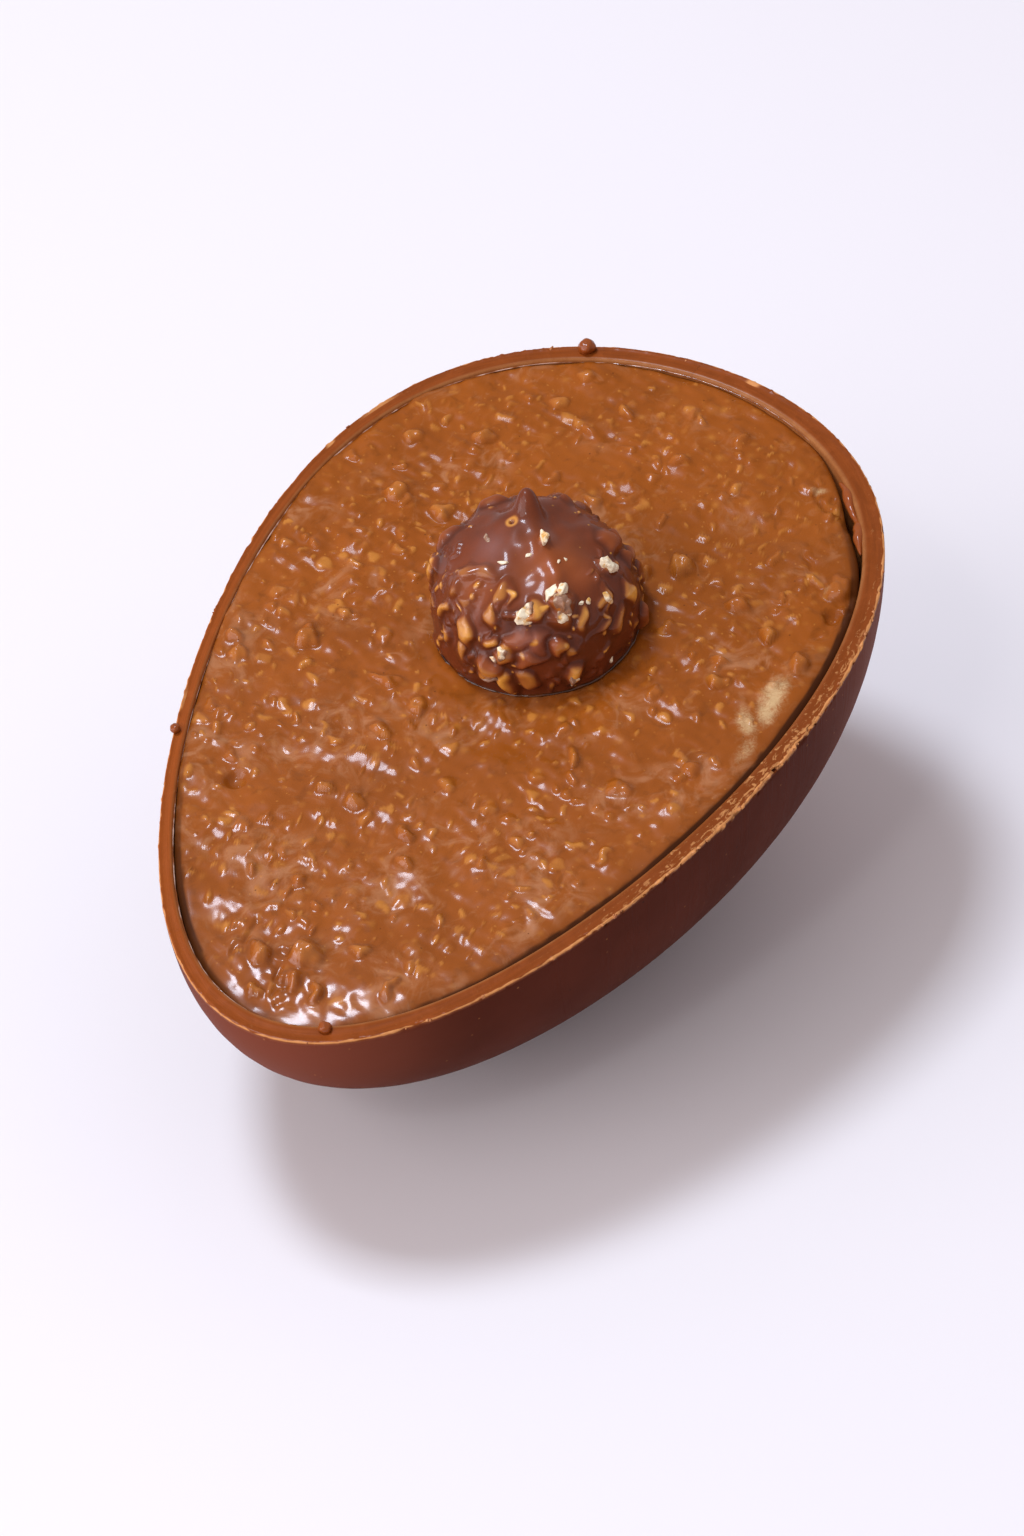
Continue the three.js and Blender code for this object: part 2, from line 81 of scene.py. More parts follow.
# Lumps of nut in the cream: x, y, half length, half width, rise, turn in degrees, golden share.
CREAM_LUMPS = np.array([
    [-53.5, 0.5, 2.6, 2.2, 2.0, 70, 0.3],
    [-56, 6, 2.3, 1.9, 1.9, 40, 0.4],
    [-58, 0, 2.1, 1.5, 1.5, 35, 0.1],
    [-58.5, -3.5, 1.7, 1.0, 1.2, 30, 0.1],
    [-61, 4.5, 1.7, 1.2, 1.1, 75, 0.5],
    [-54, -12, 1.9, 1.2, 1.0, 20, 0.2],
    [-50, -5.5, 1.7, 1.2, 0.9, 105, 0.7],
    [-43.5, 14.5, 1.5, 1.3, 1.1, 45, 0.2],
    [-43, 7.5, 1.7, 1.4, 0.9, 80, 0.0],
    [-34.5, -4, 1.6, 1.3, 1.0, 75, 0.1],
    [-30, -1.5, 2.0, 1.5, 1.4, 85, 0.1],
    [-27.5, 7.5, 1.7, 1.5, 1.2, 45, 0.2],
    [-27, 12, 1.4, 1.2, 1.0, 65, 0.4],
    [-15, 10, 1.9, 1.5, 1.1, 85, 0.2],
    [-9, 7.5, 1.6, 1.2, 1.1, 35, 0.3],
    [-6, 14, 2.7, 1.2, 0.9, 105, 0.0],
    [-3.5, 28, 2.8, 2.0, 1.7, 35, 0.2],
    [-10, 35.5, 1.5, 1.3, 1.0, 55, 0.3],
    [-7.5, 37.5, 1.7, 1.4, 1.0, 60, 0.1],
    [-8.5, -16.5, 2.0, 1.1, 1.1, 35, 0.4],
    [-11.5, -24.5, 2.2, 1.5, 0.8, 110, 0.0],
    [11.5, -28.5, 1.5, 1.4, 1.2, 45, 0.6],
    [15, -27.5, 1.8, 1.2, 1.1, 110, 0.1],
    [18, -18, 1.7, 1.5, 0.9, 95, 0.1],
    [19, -37.5, 2.4, 1.6, 1.5, 25, 0.1],
    [22.5, -31.5, 1.6, 1.5, 1.3, 30, 0.5],
    [25.5, -25.5, 2.1, 1.7, 1.2, 105, 0.0],
    [26.5, -11, 1.6, 1.1, 1.4, 30, 0.4],
    [29.5, -15, 3.1, 2.0, 2.0, 25, 0.5],
    [34.5, -37, 2.6, 1.9, 0.9, 10, 0.0],
    [48.5, -5.5, 1.5, 1.3, 0.9, 105, 0.1],
    [55, 6.5, 1.5, 1.3, 1.0, 100, 0.6],
    [36.5, 2.5, 2.0, 1.5, 0.9, 30, 0.5],
    [52.5, 16, 1.7, 1.2, 0.8, 80, 0.5],
    [59, 15, 1.7, 1.4, 0.7, 60, 0.3],
    [42, 23, 2.1, 1.9, 1.3, 80, 0.4],
    [38, 33, 1.8, 1.5, 0.9, 45, 0.4],
    [26, 22, 2.1, 1.7, 1.0, 100, 0.5],
    [26.5, 30, 2.0, 1.8, 1.3, 85, 0.4],
])
PITS = np.array([[-30.5, 24.5, 1.4], [29.5, -38, 1.2]])
# Golden bits that lie nearly level with the cream: x, y, half length, half width, turn.
GOLDEN_BITS = np.array([
    [-50, 17.5, 1.1, 0.8, 40],
    [-37, 22, 1.3, 0.8, 70],
    [-32.5, 10, 1.2, 0.9, 20],
    [-22.5, -23.5, 1.5, 0.7, 79],
    [-27, -21, 1.2, 0.7, 89],
    [-3, -12, 1.4, 0.6, 10],
    [-9, -32, 1.2, 0.8, 60],
    [48.5, -30, 1.2, 1.0, 30],
    [34, -32.5, 1.1, 0.7, 15],
    [30.5, -31, 1.0, 0.8, 80],
    [3, -24.5, 1.3, 0.8, 110],
    [46.5, 22.5, 1.4, 0.9, 95],
    [17.5, 22.5, 1.2, 0.8, 50],
    [-10, 23.5, 1.5, 0.8, 75],
    [-53.5, 13.5, 1.2, 0.8, 60],
    [-49, -2, 1.1, 0.7, 100],
])

# Nuts under the praline's coat: azimuth, elevation, half length, half width, rise, lean, gold.
PRALINE_NUTS = np.array([
    [-131, 40, 3.2, 2.2, 1.7, 12, 0.5],
    [-157, 38, 2.6, 1.5, 1.3, 80, 0.8],
    [-148, 42, 1.9, 1.5, 1.2, 20, 0.9],
    [-82, 42, 2.0, 1.3, 1.2, 30, 0.9],
    [-99, 31, 2.1, 1.0, 0.8, 20, 0.7],
    [-81, 21, 2.0, 1.0, 0.8, 10, 0.6],
    [-88, 80, 2.0, 1.1, 0.9, 65, 0.9],
    [144, 50, 2.3, 1.7, 1.0, 40, 0.3],
    [158, 55, 2.2, 1.4, 0.8, 70, 0.3],
    [147, 38, 1.8, 1.5, 0.8, 0, 0.3],
    [165, 23, 3.2, 1.5, 1.2, -25, 0.9],
    [180, 36, 2.4, 1.3, 0.9, -10, 0.6],
    [-178, 50, 2.2, 1.2, 0.7, 0, 0.5],
    [-160, 26, 2.4, 2.0, 1.3, 40, 0.0],
    [-150, 25, 1.9, 1.9, 1.1, 0, 0.1],
    [-177, 22, 1.8, 1.2, 0.9, 60, 0.9],
    [-169, 17, 2.1, 1.3, 1.3, 50, 0.8],
    [-157, 14, 2.2, 1.6, 1.4, 70, 0.1],
    [-138, 18, 1.9, 1.4, 1.4, 40, 0.4],
    [-178, 5, 2.4, 2.1, 1.7, 0, 0.7],
    [-168, -4, 2.4, 1.7, 1.1, 0, 0.9],
    [-157, -1, 1.8, 1.5, 1.0, 0, 0.5],
    [-133, -1, 2.2, 1.5, 1.2, 10, 0.9],
    [-121, 29, 2.5, 1.0, 0.7, 25, 0.9],
    [-98, 14, 2.2, 1.4, 0.9, 60, 0.5],
    [-110, 18, 2.2, 0.9, 0.7, 80, 0.4],
    [164, 8, 2.1, 1.3, 0.8, 10, 0.6],
    [150, 10, 1.9, 1.3, 0.8, -20, 0.8],
    [-74, -6, 2.0, 1.7, 1.7, 30, 0.2],
    [144, 22, 2.4, 1.0, 0.9, 5, 0.8],
])
HIDDEN_NUTS = 26
FAR_SIDE_TURN, FAR_SIDE_SPAN = 35.0, 190.0
# The ball's peak, the swell beside it and the ridge that runs from the peak: azimuth and
# elevation, and rise and spread in degrees.
PEAK, PEAK_RISE, PEAK_SPREAD = (25.0, 68.0), 2.9, 6.5
SWELL, SWELL_RISE, SWELL_SPREAD = (50.0, 66.0), 1.1, 17.0
RIDGE_END, RIDGE_RISE, RIDGE_SPREAD = (-124.0, 52.0), 0.7, 7.0
CROWN_DROP = 1.8

# Two sequences whose steps fill a rectangle evenly.
EVEN_STEP_X = 0.7548776662
EVEN_STEP_Y = 0.5698402910
CRUMB_PLANES = 9


# ---------------------------------------------------------------- settings


def colour_setting(name, description, default):
    """Colour that a user may change."""
    return FloatVectorProperty(name=name, description=description, default=default,
                               subtype="COLOR", size=3, min=0, max=1)


def count_setting(name, description, default, most):
    """Number of small things that a user may change."""
    return IntProperty(name=name, description=description, default=default, min=0, max=most)


def power_setting(name, description, default):
    """Power of a light in watts that a user may change."""
    return FloatProperty(name=name, description=description, default=default,
                         unit="POWER", min=0, max=200)


class EggShellLook(bpy.types.PropertyGroup):
    """Colours, painted light, chips and crumbs of the moulded shell."""

    body: colour_setting("Body", "Colour of the outside", (0.090, 0.017, 0.007))
    # Painted light: the outside is painted paler at the narrow end and towards the wide end.
    faded: colour_setting("Painted light", "Colour of the outside where it is paler", (0.205, 0.050, 0.025))
    rim: colour_setting("Rim", "Colour of the trimmed rim", (0.260, 0.057, 0.008))
    scraped: colour_setting("Scraped edge", "Colour of scraped chocolate", (0.640, 0.265, 0.085))
    chip: FloatProperty(
        name="Chip depth", description="Depth of the chips along the outer edge",
        default=0.00045, min=0, max=0.002, unit="LENGTH")
    crumbs: count_setting("Crumbs", "Crumbs that cling to the scraped edge", 60, 1000)


class EggCreamLook(bpy.types.PropertyGroup):
    """Colours and nuts of the filling."""

    cream: colour_setting("Cream", "Colour of the cream", (0.328, 0.082, 0.008))
    nut: colour_setting("Nut", "Colour of nut under a thin coat", (0.600, 0.228, 0.038))
    # The milk-pale streaks are partly painted sheen.
    haze: colour_setting("Haze", "Colour of the milky streaks", (0.520, 0.240, 0.110))
    small_nuts: count_setting("Small nuts", "Low lumps between the larger ones", 640, 1500)
    slivers: count_setting("Slivers", "Flat golden slivers of nut on the surface", 110, 1000)
    grains: count_setting("Grains", "Finest grains under the surface", 500, 4000)


class EggPralineLook(bpy.types.PropertyGroup):
    """Colours of the praline ball."""

    coat: colour_setting("Coat", "Colour of the chocolate coat", (0.170, 0.034, 0.009))
    # Also laid on patches of the coat as painted light.
    blush: colour_setting("Blush", "Colour of the coat over nuts", (0.325, 0.075, 0.014))
    gold: colour_setting("Thin coat", "Colour of nut that shows through", (0.760, 0.340, 0.048))
    bare: colour_setting("Bare nut", "Colour of broken nut", (0.920, 0.780, 0.540))


class EggStudio(bpy.types.PropertyGroup):
    """Floor, lights and camera."""

    floor: colour_setting("Floor", "Colour of the floor", (0.90, 0.85, 0.84))
    key_power: power_setting("Key light", "Power of the overhead light", 15.2)
    front_power: power_setting("Front light", "Power of the large light at the front left", 10.2)
    side_power: power_setting("Side light", "Power of the low soft light at the left", 7.0)
    glint_power: power_setting("Glint light", "Power of the small light at the front", 1.3)
    fill: FloatProperty(
        name="Fill", description="Strength of the light from all round",
        default=0.44, min=0, max=5)
    lens: FloatProperty(
        name="Lens", description="Focal length for a frame 36 mm high, in millimetres",
        default=93.75, min=10, max=300)


# ---------------------------------------------------------------- the egg's form


def half_width(x):
    """Half width at x: an ellipse times a quadratic in x that fattens the wide end."""
    c = np.clip(x / HALF_LENGTH, -1, 1)
    return HALF_WIDTH * np.sqrt(1 - c * c) * (1 + TAPER * c + TAPER_BEND * c * c)


WIDEST = float(half_width(np.linspace(-HALF_LENGTH, HALF_LENGTH, 2001)).max())


def skin_scale(inset):
    """Stretch along x, stretch along y and shift along y of the skin that lies inset inside."""
    inner = 1 if inset > 0 else 0
    along = (HALF_LENGTH - inset - END_EXTRA * inner) / HALF_LENGTH
    return along, (WIDEST - inset) / WIDEST, HOLLOW_SHIFT * inner


def outline(turn, inset):
    """Plan of a skin at the rim plane: (A cos t, width at that x), signed by sin t."""
    along, across, moved = skin_scale(inset)
    x = HALF_LENGTH * np.cos(turn)
    y = np.sign(np.sin(turn)) * half_width(x)
    return np.stack([along * x, moved + across * y], axis=-1)


def depth_square(x, y, inset):
    """Half width squared less y squared: the square of the bowl's depth over its factor."""
    along, across, moved = skin_scale(inset)
    width = across * half_width(x / along)
    return width * width - (y - moved) ** 2


def bowl_height(x, y, inset):
    """Height of the bowl over the plan: an ellipse across the egg's length."""
    return -DEPTH_FACTOR * np.sqrt(np.maximum(depth_square(x, y, inset), 0))


def edge_distance(x, y, inset):
    """Distance to a skin's outline: the depth square over the length of its slope."""
    step = 0.01
    here = depth_square(x, y, inset)
    slope_x = (depth_square(x + step, y, inset) - here) / step
    slope_y = (depth_square(x, y + step, inset) - here) / step
    return np.maximum(here, 0) / np.maximum(np.hypot(slope_x, slope_y), 1e-3)


def standing_place():
    """Where the egg's frame stands: its lowest point under the pitch lands on the origin."""
    x = np.arange(-HALF_LENGTH, HALF_LENGTH, 0.05)
    z = bowl_height(x, np.zeros_like(x), 0)
    height = x * math.sin(REST_PITCH) + z * math.cos(REST_PITCH)
    low = int(height.argmin())
    shift_x = -(x[low] * math.cos(REST_PITCH) - z[low] * math.sin(REST_PITCH))
    return np.array([shift_x, 0.0, -height[low] - REST_FLAT_DEPTH])


STAND = standing_place()
PITCH = np.array([
    [math.cos(REST_PITCH), 0, -math.sin(REST_PITCH)],
    [0, 1, 0],
    [math.sin(REST_PITCH), 0, math.cos(REST_PITCH)],
])


def stood(points):
    """Points of the egg's frame in millimetres, turned by the pitch, stood, and in metres."""
    return (np.asarray(points) @ PITCH.T + STAND) * MM


# ---------------------------------------------------------------- numpy helpers


def smoothstep(value, low, high):
    """Cubic that rises from 0 at low to 1 at high."""
    share = np.clip((value - low) / (high - low), 0, 1)
    return share * share * (3 - 2 * share)


def smooth_max(first, second, blend):
    """Larger of two heights with a fillet: the mean plus half the root of the gap squared."""
    gap = first - second
    return 0.5 * (first + second + np.sqrt(gap * gap + blend * blend))


def draw(index, channel):
    """Repeatable draws between 0 and 1 for whole numbers, as in the solids."""
    wave = np.sin(index * 12.9898 + channel * 78.233) * 43758.5453
    return wave - np.floor(wave)


def ripple(points, wavelength, seed, waves=22):
    """Sum of cosines along random directions, with wavelengths near one length."""
    rng = np.random.default_rng(seed)
    ways = rng.normal(size=(waves, points.shape[-1]))
    ways /= np.linalg.norm(ways, axis=1, keepdims=True)
    lengths = wavelength * rng.uniform(0.7, 1.45, waves)
    phases = rng.uniform(0, 2 * np.pi, waves)
    angles = points @ (ways * (2 * np.pi / lengths)[:, None]).T + phases
    return np.cos(angles).sum(axis=-1) * math.sqrt(2 / waves)


def even_places(count):
    """Whole numbers with two even sequences between 0 and 1."""
    n = np.arange(1, count + 1)
    return n, (0.5 + n * EVEN_STEP_X) % 1, (0.5 + n * EVEN_STEP_Y) % 1


def direction(azimuth, elevation):
    """Unit vectors at angles in degrees."""
    turn, lift = np.broadcast_arrays(np.radians(azimuth), np.radians(elevation))
    return np.stack([np.cos(lift) * np.cos(turn), np.cos(lift) * np.sin(turn), np.sin(lift)], -1)


def rounded_polygon(x, y, seed, sides=6, power=3.6):
    """Size of a convex outline through a point: a power mean of the distances to its sides."""
    start = draw(seed, 11) * 2 * np.pi
    steps = np.arange(sides) + 0.35 * (draw(seed + np.arange(sides), 12) - 0.5)
    angles = start + 2 * np.pi * steps / sides
    reach = 0.86 + 0.28 * draw(seed + np.arange(sides), 13)
    total = np.zeros_like(x)
    for angle, side in zip(angles, reach):
        total += np.maximum((x * math.cos(angle) + y * math.sin(angle)) / side, 0) ** power
    return total ** (1 / power)


def turned(east, north, degrees):
    """Two coordinates, or the two axes themselves, after a turn by an angle."""
    cos, sin = math.cos(math.radians(degrees)), math.sin(math.radians(degrees))
    return east * cos + north * sin, north * cos - east * sin


def stone_relief(east, north, shape, seed, fillet, power):
    """Share of its rise that one nut has at a place: a dome on a rounded polygon with a fillet.

    The nut's shape is its half length, its half breadth and its turn. The dome is 1 - size^2.3,
    its fillet is half the sum of the dome and the root of its square plus a softness squared,
    and it is tipped to one side.
    """
    half_length, half_breadth, turn = shape
    along, across = turned(east, north, turn)
    along, across = along / half_length, across / half_breadth
    size = rounded_polygon(along, across, seed, power=power)
    dome = 1 - size ** 2.3
    softness = fillet * (1 + draw(seed, 16))
    share = smooth_max(dome, 0, softness) / (1 + 0.25 * softness * softness)
    tip = 1 + 0.5 * (along * (draw(seed, 14) - 0.5) + across * (draw(seed, 15) - 0.5))
    return share * tip * (1 - smoothstep(size, 1.3, 2.1)), size


def swept_tube(path, radii, sides, seed, lumpiness):
    """Closed tube: circles of given radii across a path, with two end points."""
    path = np.asarray(path, float)
    ahead = np.gradient(path, axis=0)
    ahead /= np.linalg.norm(ahead, axis=1, keepdims=True)
    side = np.cross(ahead, [0, 0, 1.0])
    side /= np.linalg.norm(side, axis=1, keepdims=True)
    over = np.cross(side, ahead)
    angle = 2 * np.pi * np.arange(sides) / sides
    ring = np.cos(angle)[:, None] * side[:, None] + np.sin(angle)[:, None] * over[:, None]
    points = path[:, None] + radii[:, None, None] * ring
    points += lumpiness * radii[:, None, None] * ring * ripple(points, 2.0, seed)[..., None]
    return rings_to_mesh(points, path[0], path[-1])


def rings_to_mesh(rings, first_pole, last_pole):
    """Vertices and faces of a skin through a pole, rings of equal length and a last pole."""
    count, around = rings.shape[:2]
    points = np.concatenate([[first_pole], rings.reshape(-1, 3), [last_pole]])
    ids = 1 + np.arange(count * around).reshape(count, around)
    after = np.roll(ids, -1, axis=1)
    quads = np.stack([ids[:-1], after[:-1], after[1:], ids[1:]], axis=-1).reshape(-1, 4)
    first = np.stack([np.zeros(around, int), after[0], ids[0]], axis=-1)
    last = np.stack([ids[-1], after[-1], np.full(around, len(points) - 1)], axis=-1)
    return points, quads, np.concatenate([first, last])


def disc_sheet(cells):
    """Square grid bent into a disc: squares become circles. Gives radius, angle, faces, edge."""
    line = np.linspace(-1, 1, cells + 1)
    u, v = np.meshgrid(line, line, indexing="ij")
    radius = np.maximum(np.abs(u), np.abs(v))
    flat = np.abs(u) >= np.abs(v)
    safe_u = np.where(u == 0, 1, u)
    safe_v = np.where(v == 0, 1, v)
    angle = np.where(
        flat,
        np.pi / 4 * v / safe_u + np.where(u < 0, np.pi, 0),
        np.pi / 2 - np.pi / 4 * u / safe_v + np.where(v < 0, np.pi, 0),
    )
    ids = np.arange((cells + 1) ** 2).reshape(cells + 1, cells + 1)
    quads = np.stack([ids[:-1, :-1], ids[1:, :-1], ids[1:, 1:], ids[:-1, 1:]], -1).reshape(-1, 4)
    edge = np.concatenate([ids[:-1, 0], ids[-1, :-1], ids[:0:-1, -1], ids[0, :0:-1]])
    return radius.ravel(), angle.ravel(), quads, edge


def close_below(points, quads, edge, rings, pole):
    """Adds rings that hang from a sheet's edge, and a pole that closes them."""
    around = len(edge)
    base = len(points)
    loops = [edge] + [base + i * around + np.arange(around) for i in range(len(rings))]
    sides = [
        np.stack([low, np.roll(low, -1), np.roll(high, -1), high], -1)
        for high, low in zip(loops[:-1], loops[1:])
    ]
    tip = base + len(rings) * around
    fan = np.stack([np.roll(loops[-1], -1), loops[-1], np.full(around, tip)], -1)
    points = np.concatenate([points, *rings, [pole]])
    return points, np.concatenate([quads, *sides]), fan


def padded(marks, count):
    """Marks of a sheet, with zeros for the vertices that close it below."""
    return {key: np.append(values, np.zeros(count - len(values))) for key, values in marks.items()}


def chunk_sphere(rows, columns):
    """Unit directions of a small closed ball as rings with two poles."""
    lift = np.linspace(-90, 90, rows + 2)[1:-1]
    turn = 360 * np.arange(columns) / columns
    return direction(turn[None, :], lift[:, None])


def chunk(centre, reach, sharpness, seed, rows=7, columns=10):
    """Broken crumb: a ball whose radius is the power mean of its distances to random planes."""
    rng = np.random.default_rng(seed)
    planes = rng.normal(size=(CRUMB_PLANES, 3))
    planes /= np.linalg.norm(planes, axis=1, keepdims=True)
    depth = rng.uniform(0.62, 1.0, CRUMB_PLANES)
    ball = chunk_sphere(rows, columns)
    poles = np.array([[0, 0, -1.0], [0, 0, 1.0]])

    def shaped(ways):
        facing = np.maximum(ways @ planes.T, 0) / depth
        total = np.maximum((facing ** sharpness).sum(axis=-1, keepdims=True), 1e-9)
        return ways * np.clip(total ** (-1 / sharpness), 0.3, 1.4)

    points, quads, triangles = rings_to_mesh(shaped(ball), *shaped(poles))
    return centre + points * reach, quads, triangles


def joined(parts):
    """One mesh from many: the vertex numbers of each are moved past those before it."""
    points, quads, triangles, start = [], [], [], 0
    for part in parts:
        points.append(part[0])
        quads.append(part[1] + start)
        triangles.append(part[2] + start)
        start += len(part[0])
    return np.concatenate(points), np.concatenate(quads), np.concatenate(triangles)


def make_piece(name, mesh_parts, finish, slot, node=None, **attributes):
    """Puts a mesh, given in the egg's frame, into the scene as a piece of the object."""
    points, quads, triangles = mesh_parts
    mesh = bpy.data.meshes.new(name)
    mesh.from_pydata(stood(points).tolist(), [], quads.tolist() + triangles.tolist())
    mesh.polygons.foreach_set("use_smooth", np.ones(len(mesh.polygons), bool))
    for key, values in attributes.items():
        layer = mesh.attributes.new(key, "FLOAT", "POINT")
        layer.data.foreach_set("value", np.ascontiguousarray(values, dtype=np.float32))
    mesh.materials.append(finish)
    mesh.update()
    piece = bpy.data.objects.new(name, mesh)
    bpy.context.scene.collection.objects.link(piece)
    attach(piece, "root")
    if node:
        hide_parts(node)
    return piece


# ---------------------------------------------------------------- shader wiring


class Wire:
    """A node's output that can stand in sums, differences and products."""

    def __init__(self, finish, socket):
        self.finish = finish
        self.socket = socket

    def _math(self, operation, first, second):
        return self.finish.node("ShaderNodeMath", {"operation": operation}, {0: first, 1: second})

    def __add__(self, other):
        return self._math("ADD", self, other)

    def __sub__(self, other):
        return self._math("SUBTRACT", self, other)

    def __rsub__(self, other):
        return self._math("SUBTRACT", other, self)

    def __mul__(self, other):
        return self._math("MULTIPLY", self, other)

    __radd__ = __add__
    __rmul__ = __mul__

    def step(self, low, high):
        """Rises smoothly from 0 at low to 1 at high."""
        return self.finish.node(
            "ShaderNodeMapRange", {"interpolation_type": "SMOOTHSTEP"},
            {"Value": self, "From Min": low, "From Max": high})


class Finish:
    """One material: its nodes are made by a single method and wired to the shader."""

    def __init__(self, name, **constants):
        self.material = bpy.data.materials.new(name)
        self.material.use_nodes = True
        self.tree = self.material.node_tree
        self.shader = self.tree.nodes["Principled BSDF"]
        for key, value in constants.items():
            self.shader.inputs[key.replace("_", " ")].default_value = value
        self.place = self.scaled(self.node("ShaderNodeTexCoord", {}, {}, "Object"), 1 / MM)

    def node(self, kind, settings, inputs, output=0):
        """Adds a node, makes its settings, then sets or links its sockets."""
        made = self.tree.nodes.new(kind)
        for key, value in settings.items():
            setattr(made, key, value)
        for key, value in inputs.items():
            self.feed(made.inputs[key], value)
        return Wire(self, made.outputs[output])

    def feed(self, socket, value):
        """Gives a socket a link, a colour or a number."""
        if isinstance(value, Wire):
            self.tree.links.new(value.socket, socket)
        elif socket.type == "RGBA":
            socket.default_value = (*value, 1.0)
        else:
            socket.default_value = value

    def attributes(self, *names):
        """Marks that the vertices of the piece carry."""
        return [
            self.node("ShaderNodeAttribute", {"attribute_name": name}, {}, "Fac") for name in names
        ]

    def scaled(self, vector, factor):
        """Vector times a number."""
        return self.node(
            "ShaderNodeVectorMath", {"operation": "SCALE"}, {0: vector, "Scale": factor})

    def noise(self, size, detail=2.0, roughness=0.5, distortion=0.0, where=None):
        """Noise between 0 and 1 with blobs of a size in millimetres."""
        return self.node("ShaderNodeTexNoise", {}, {
            "Vector": where or self.place, "Scale": 1 / size, "Detail": detail,
            "Roughness": roughness, "Distortion": distortion}, "Fac")

    def spots(self, size, inner, outer, where=None):
        """Spots round scattered points a size apart: 1 inside an inner share of it, 0 outside."""
        distance = self.node("ShaderNodeTexVoronoi", {}, {
            "Vector": where or self.place, "Scale": 1 / size}, "Distance")
        return 1 - distance.step(inner, outer)

    def cell_draw(self, size, where=None):
        """A draw between 0 and 1 for each of the same points' cells."""
        tint = self.node("ShaderNodeTexVoronoi", {}, {
            "Vector": where or self.place, "Scale": 1 / size}, "Color")
        return self.node("ShaderNodeSeparateColor", {}, {0: tint})

    def warp(self, size, reach):
        """Places pushed about by noise of a size, up to a reach, both in millimetres."""
        drift = self.node("ShaderNodeTexNoise", {}, {
            "Vector": self.place, "Scale": 1 / size, "Detail": 1.0}, "Color")
        return self.node("ShaderNodeVectorMath", {"operation": "ADD"},
                         {0: self.place, 1: self.scaled(drift, reach)})

    def layered(self, colour, *layers):
        """Colour under layers, each a mask between 0 and 1 and the colour that it lays over."""
        for mask, tint in layers:
            colour = self.node(
                "ShaderNodeMix", {"data_type": "RGBA", "clamp_factor": True},
                {0: mask, 6: colour, 7: tint}, 2)
        return colour

    def bump(self, height, depth, strength=1.0, under=None):
        """Bump by a height between 0 and 1 that stands for a depth in millimetres."""
        inputs = {"Height": height, "Distance": depth * MM, "Strength": strength}
        if under:
            inputs["Normal"] = under
        return self.node("ShaderNodeBump", {}, inputs)

    def surface(self, **wires):
        """Feeds the shader's own sockets and hands over the material."""
        for key, value in wires.items():
            self.feed(self.shader.inputs[key.replace("_", " ")], value)
        return self.material


# ---------------------------------------------------------------- finishes

PIT_SHADE = (0.020, 0.008, 0.006)
AMBER_COAT = (0.360, 0.088, 0.008)
CREVICE_SHADE_DARK = (0.060, 0.017, 0.005)
BLOOM_AND_HIGHLIGHT_PALE = (0.720, 0.520, 0.260)
SHEEN_COAT = (0.420, 0.220, 0.200)
OIL_HIGHLIGHT = (0.720, 0.460, 0.340)
TOASTED_NUT = (0.720, 0.360, 0.070)
STAINED_NUT = (0.220, 0.070, 0.025)


def shade(colour, factor):
    """Colour times a factor, or times one factor for each of its channels."""
    return tuple(np.multiply(colour, factor).tolist())


def shell_finish(look):
    """Satin milk chocolate: specks and pits outside, scrape lines, smears and flakes on the rim.

    The pits are painted dark as shade; light and shade are also painted on the outside and rim.
    """
    paint = Finish("shell_chocolate", Specular_IOR_Level=0.03, Coat_Roughness=0.22)
    rim, edge, across, along, faded, wear, far = paint.attributes(
        "rim", "edge", "across", "along", "faded", "wear", "far")
    stroke = paint.node("ShaderNodeCombineXYZ", {}, {"X": along * 0.05, "Y": across})
    streaks = paint.noise(0.45, 2, 0.5, 0.3, where=stroke)
    flake_place = paint.node("ShaderNodeCombineXYZ", {}, {"X": along * 0.35, "Y": across})
    flakes = paint.noise(0.55, 3, 0.65, 0.8, where=flake_place)
    flaked = (flakes + wear * 0.16 - across * 0.05).step(0.62, 0.72)
    tone = paint.noise(14, 3, 0.6)
    smears = paint.noise(3.5, 3, 0.6, 0.8)
    grain = paint.noise(0.9, 4, 0.7)
    inner = across.step(0.74 * WALL, 0.95 * WALL)
    body = paint.layered(
        look.body,
        (tone.step(0.3, 0.7), shade(look.body, 0.84)),
        # painted light: the outside paler at both ends
        (faded, look.faded),
        (paint.spots(3.1, 0.03, 0.07) * 0.30, look.scraped),
        # painted shade: dark pinholes, with no relief under them
        (paint.spots(5.1, 0.02, 0.05) * 0.6, PIT_SHADE))
    rim_tone = paint.layered(
        look.rim,
        (streaks.step(0.30, 0.70), shade(look.rim, 0.80)),
        (smears.step(0.45, 0.75) * 0.45, shade(look.rim, 1.35)),
        # painted highlight: a lighter band along the inner edge of the rim
        (inner * (smears + 0.20), shade(look.scraped, 0.66)),
        # painted shade: the rim darker on its near side, by the mark of its worn stretch
        (wear * 0.8, shade(look.rim, 0.75)),
        # painted light: the rim paler on its far stretch
        (far * 0.5, shade(look.rim, 1.5)),
        (flaked * wear, shade(look.scraped, 0.80)))
    scraped = (edge * (grain * 0.7 + 0.75)).step(0.2, 0.8)
    colour = paint.layered(body, (rim, rim_tone), (scraped, look.scraped))
    rough = 0.52 + tone * 0.08 + edge * 0.15 - rim * 0.18
    relief = paint.bump(grain, 0.02, 0.4)
    relief = paint.bump(streaks * rim, 0.10, 0.7, under=relief)
    relief = paint.bump(smears * rim + flaked * wear * 0.3, 0.20, 0.7, under=relief)
    return paint.surface(Base_Color=colour, Roughness=rough, Normal=relief,
                         Coat_Weight=rim * (0.04 + smears * 0.30))


